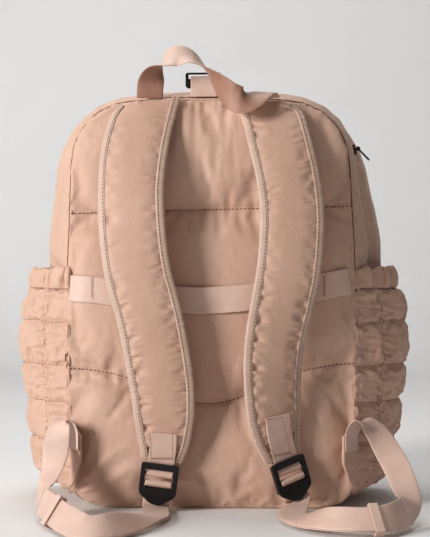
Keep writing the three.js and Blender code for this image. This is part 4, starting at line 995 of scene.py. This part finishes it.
def lockFrame(stops):
    end = stops[-1]
    up = end["along"] * -1
    origin = end["point"] - up * lock["drop"] + end["out"] * lock["out"]
    turn = Matrix((end["across"], up, end["out"])).transposed().to_4x4()
    return Matrix.Translation(origin) @ turn


def roundBar(bar, start, end, steps):
    radius = lock["barRadius"] + lock["barRoom"] + body["webbingThick"] / 2
    turns = [math.radians(mixed(start, end, k / steps)) for k in range(steps + 1)]
    return [Vector((0, bar[0] + radius * math.cos(a), bar[1] + radius * math.sin(a))) for a in turns]


def refined(stops, times):
    route = Spline([s["point"] for s in stops])
    count = (len(stops) - 1) * times
    made = []
    for k in range(count + 1):
        spot = k / times
        low = min(int(spot), len(stops) - 2)
        across = stops[low]["across"].lerp(stops[low + 1]["across"], spot - low).normalized()
        made.append({"point": route.at(k / count), "across": across})
    return faceOut(made)


# Adjusting webbing runs from its corner tab to the lock, round the lower bar and back along itself.
def makeAdjuster(side, strapTable, table, sign, tail):
    frameAt = lockFrame(strapStops(strapTable, 19))
    main = faceOut(smoothStops(table, 40))
    across = (frameAt.to_3x3() @ Vector((-sign, 0, 0))).normalized()
    local = [*lock["under"], *roundBar(lock["lower"], -80, 175, 8), *lock["over"]]
    threaded = [{"point": frameAt @ Vector(p), "across": across.copy()} for p in local]
    back = [{"point": s["point"] - s["out"] * sign * body["layerStep"], "across": s["across"].copy()}
            for s in reversed(main[tail["stop"]:-1])]
    onward = (back[-1]["point"] - back[-2]["point"]).normalized() * tail["run"]
    back.append({"point": back[-1]["point"] + onward, "across": back[-1]["across"].copy()})
    stops = refined(faceOut(main + threaded + back), 4)
    ribbon(f"webbing_ribbon_{side}", stops, f"webbing_{side}", ripple=0.12, seed=4.4 + sign)


tails = {"left": {"stop": 20, "run": 19}, "right": {"stop": 23, "run": 6}}
makeHandle()
for side, (strapTable, webbingTable, sign) in sides.items():
    makeAdjuster(side, strapTable, webbingTable, sign, tails[side])
print("webbing made")


# Small sewn pieces: tabs, patches, loops and the zip's tape.
def softTrim(name, node, voxel, wrinkle, material=satin, smoothing=1):
    piece = evenCopy(name, node, voxel, smoothing)
    places, normals = coordsOf(piece), normalsOf(piece)
    shift = [noise.noise(Vector(p) * 0.12) * wrinkle for p in places]
    setCoords(piece, places + normals * np.array(shift)[:, None])
    addStripMap(piece.data, [(p[0], p[2]) for p in places])
    finishSoft(piece, material, node)


for side in sides:
    softTrim(f"wing_{side}", f"corner_tab_{side}", 0.9, 0.7, nylon, smoothing=2)
    softTrim(f"sewn_patch_{side}", f"strap_patch_{side}", 0.5, 0.2)
    softTrim(f"keeper_loop_{side}", f"keeper_{side}", 0.45, 0.1)
softTrim("tab_ribbon", "top_tab", 0.5, 0.15)
softTrim("zip_tape_cloth", "zip_tape", 0.7, 0.1, liningNylon)


# The trolley band follows its own solid's face and lies over the panel's cloth.
def makeBand():
    solidTree = treeOf(nodes["trolley_band"])
    settings = {"lift": 1.2, "samples": 26, "reach": 12}
    line = Spline([(x * body["halfWidth"], 0, z * body["halfWidth"]) for x, z in zip(bandLine["x"], bandLine["z"])])
    rows = []
    for k in range(settings["samples"] + 1):
        x, _, z = line.at(k / settings["samples"])
        hit = frontHit(solidTree, mixed(x, 0, 0.006), z)
        cloth = min(onBack(x, z + up)[1] for up in (-settings["reach"], 0, settings["reach"]))
        rows.append(Vector((x, min(hit[1] + body["webbingThick"] / 2, cloth - settings["lift"]), z)))
    route = Spline(rows)
    stops = faceOut([{"point": route.at(k / 130), "across": Vector((0, 0, 1))} for k in range(131)])
    return ribbon("band_ribbon", stops, "trolley_band", ripple=0.3, seed=7.6)


bandTree = treeOf(makeBand())


# Lands points of the front view on a piece, seen from the straps' side.
def landed(tree, points, lift=0.1):
    hits = [frontHit(tree, x, z, start=-400) for x, z in points]
    return [hit - Vector((0, lift, 0)) for hit in hits if hit]


def between(a, b, count):
    return [(mixed(a[0], b[0], k / count), mixed(a[1], b[1], k / count)) for k in range(count + 1)]


def zigzag(a, b, wide, count):
    length = math.hypot(b[0] - a[0], b[1] - a[1])
    side = (-(b[1] - a[1]) / length * wide, (b[0] - a[0]) / length * wide)
    line = between(a, b, count)
    return [(x + side[0] * (k % 2 - 0.5), z + side[1] * (k % 2 - 0.5)) for k, (x, z) in enumerate(line)]


def dense(points, step=0.5):
    made = []
    for a, b in zip(points, points[1:]):
        made += between(a, b, max(int(math.dist(a, b) / step), 1))
    return made


bandEnds = {"left": (-114.5, 203, 222), "right": (107, 204, 224)}
bandRuns = [landed(bandTree, dense(zigzag((x, low), (x, high), 2.4, 16))) for x, low, high in bandEnds.values()]
sew("band_stitches", bandRuns, paleThread, spacing=1.5, length=1.7, radius=0.3)

patchCorners = {"left": ((-58, 84), (-34.5, 84), (-34.5, 50), (-58, 50)),
                "right": ((44, 92), (67.5, 94.5), (76.5, 56), (58, 53.5))}
for side, corners in patchCorners.items():
    tree = treeOf(bpy.data.objects[f"sewn_patch_{side}"])
    inset = [tuple(mixed(corners[k][j], sum(c[j] for c in corners) / 4, 0.12) for j in range(2)) for k in range(4)]
    runs = [landed(tree, dense(line)) for line in (inset + [inset[0]], zigzag(inset[3], inset[2], 2.6, 14))]
    sew(f"patch_stitches_{side}", [run for run in runs if len(run) > 2], paleThread, spacing=2.2, length=1.7,
        radius=0.3)


# Two rows of zip coils along the tape, where it shows.
def makeCoils():
    settings = {"rows": (-0.75, 0.75), "middle": 215, "start": -30, "end": 210, "steps": 900, "proud": 0.2}
    tapeTree = treeOf(bpy.data.objects["zip_tape_cloth"])
    runs = []
    for off in settings["rows"]:
        centre = Vector((0, (zipFrom + zipTo) / 2 + off, settings["middle"]))
        met = metAllRound(tapeTree, centre, settings["start"], settings["end"], settings["steps"])
        runs.append([hit + way * settings["proud"] for hit, way in met])
    sew("zip_coils", runs, coilPlastic, spacing=1.5, length=1.15, radius=0.62)


makeCoils()
print("trim made")


# Hard parts keep their own solids, with worn edges and a moulded surface.
for node in ("buckle_left", "buckle_right", "top_ring", "zip_slider", "zip_puller"):
    part = nodes[node]
    part.data.materials.clear()
    part.data.materials.append(plastic)
    edges = part.modifiers.new("edges", "BEVEL")
    edges.width = 0.35 * mm
    edges.segments = 2
    edges.limit_method = "ANGLE"
    edges.angle_limit = math.radians(35)


# Floor, backdrop and light.
def makeStage():
    settings = {"sweep": 400, "front": -3200, "back": 1900, "wide": 6000, "tall": 3200, "steps": 12}
    material, shader = newMaterial("paper_sweep")
    place = addNode(material, "ShaderNodeTexCoord").outputs["Object"]
    grain = addNode(material, "ShaderNodeTexNoise", {"Vector": place}, in_Scale=6, in_Detail=3)
    tint = ramp(material, grain, [(0.3, "#E6E6E6"), (0.7, "#E9E9E9")])
    setSurface(material, shader, tint, Roughness=0.85)
    verts, faces = [], []
    profile = [(settings["front"], 0), (settings["back"] - settings["sweep"], 0)]
    for k in range(1, settings["steps"] + 1):
        turn = math.pi / 2 * k / settings["steps"]
        profile.append((settings["back"] + settings["sweep"] * (math.sin(turn) - 1),
                        settings["sweep"] * (1 - math.cos(turn))))
    profile.append((settings["back"], settings["tall"]))
    for y, z in profile:
        verts += [(-settings["wide"] / 2, y, z), (settings["wide"] / 2, y, z)]
    for k in range(len(profile) - 1):
        faces.append((2 * k, 2 * k + 1, 2 * k + 3, 2 * k + 2))
    newObject("sweep", newMesh("sweep", verts, faces, material))


def makeLight(name, place, target, size, power, colour):
    data = bpy.data.lights.new(name, "AREA")
    data.shape = "RECTANGLE"
    data.size, data.size_y = size
    data.energy = power
    data.color = srgb(colour)[:3]
    lamp = newObject(name, data)
    lamp.location = place
    lamp.rotation_euler = (Vector(target) - Vector(place)).to_track_quat("-Z", "Y").to_euler()


makeStage()
makeLight("key", (-2.3, -1.75, 1.0), (0, 0, 0.22), (0.75, 1.0), 72, "#FFFDFB")
makeLight("fill", (0.8, -2.2, 0.9), (0, 0, 0.2), (1.4, 1.2), 2.2, "#FFFAF6")
makeLight("top", (-0.2, 0.3, 1.9), (0, 0.1, 0), (1.4, 1.2), 15, "#FFFFFF")
world = bpy.data.worlds.new("studio")
world.use_nodes = True
sky = world.node_tree.nodes["Background"]
sky.inputs["Color"].default_value = srgb("#EDEAE7")
sky.inputs["Strength"].default_value = 0.15
scene.world = world
scene.view_settings.view_transform = "Standard"
scene.view_settings.look = "Medium High Contrast"
print("stage made")
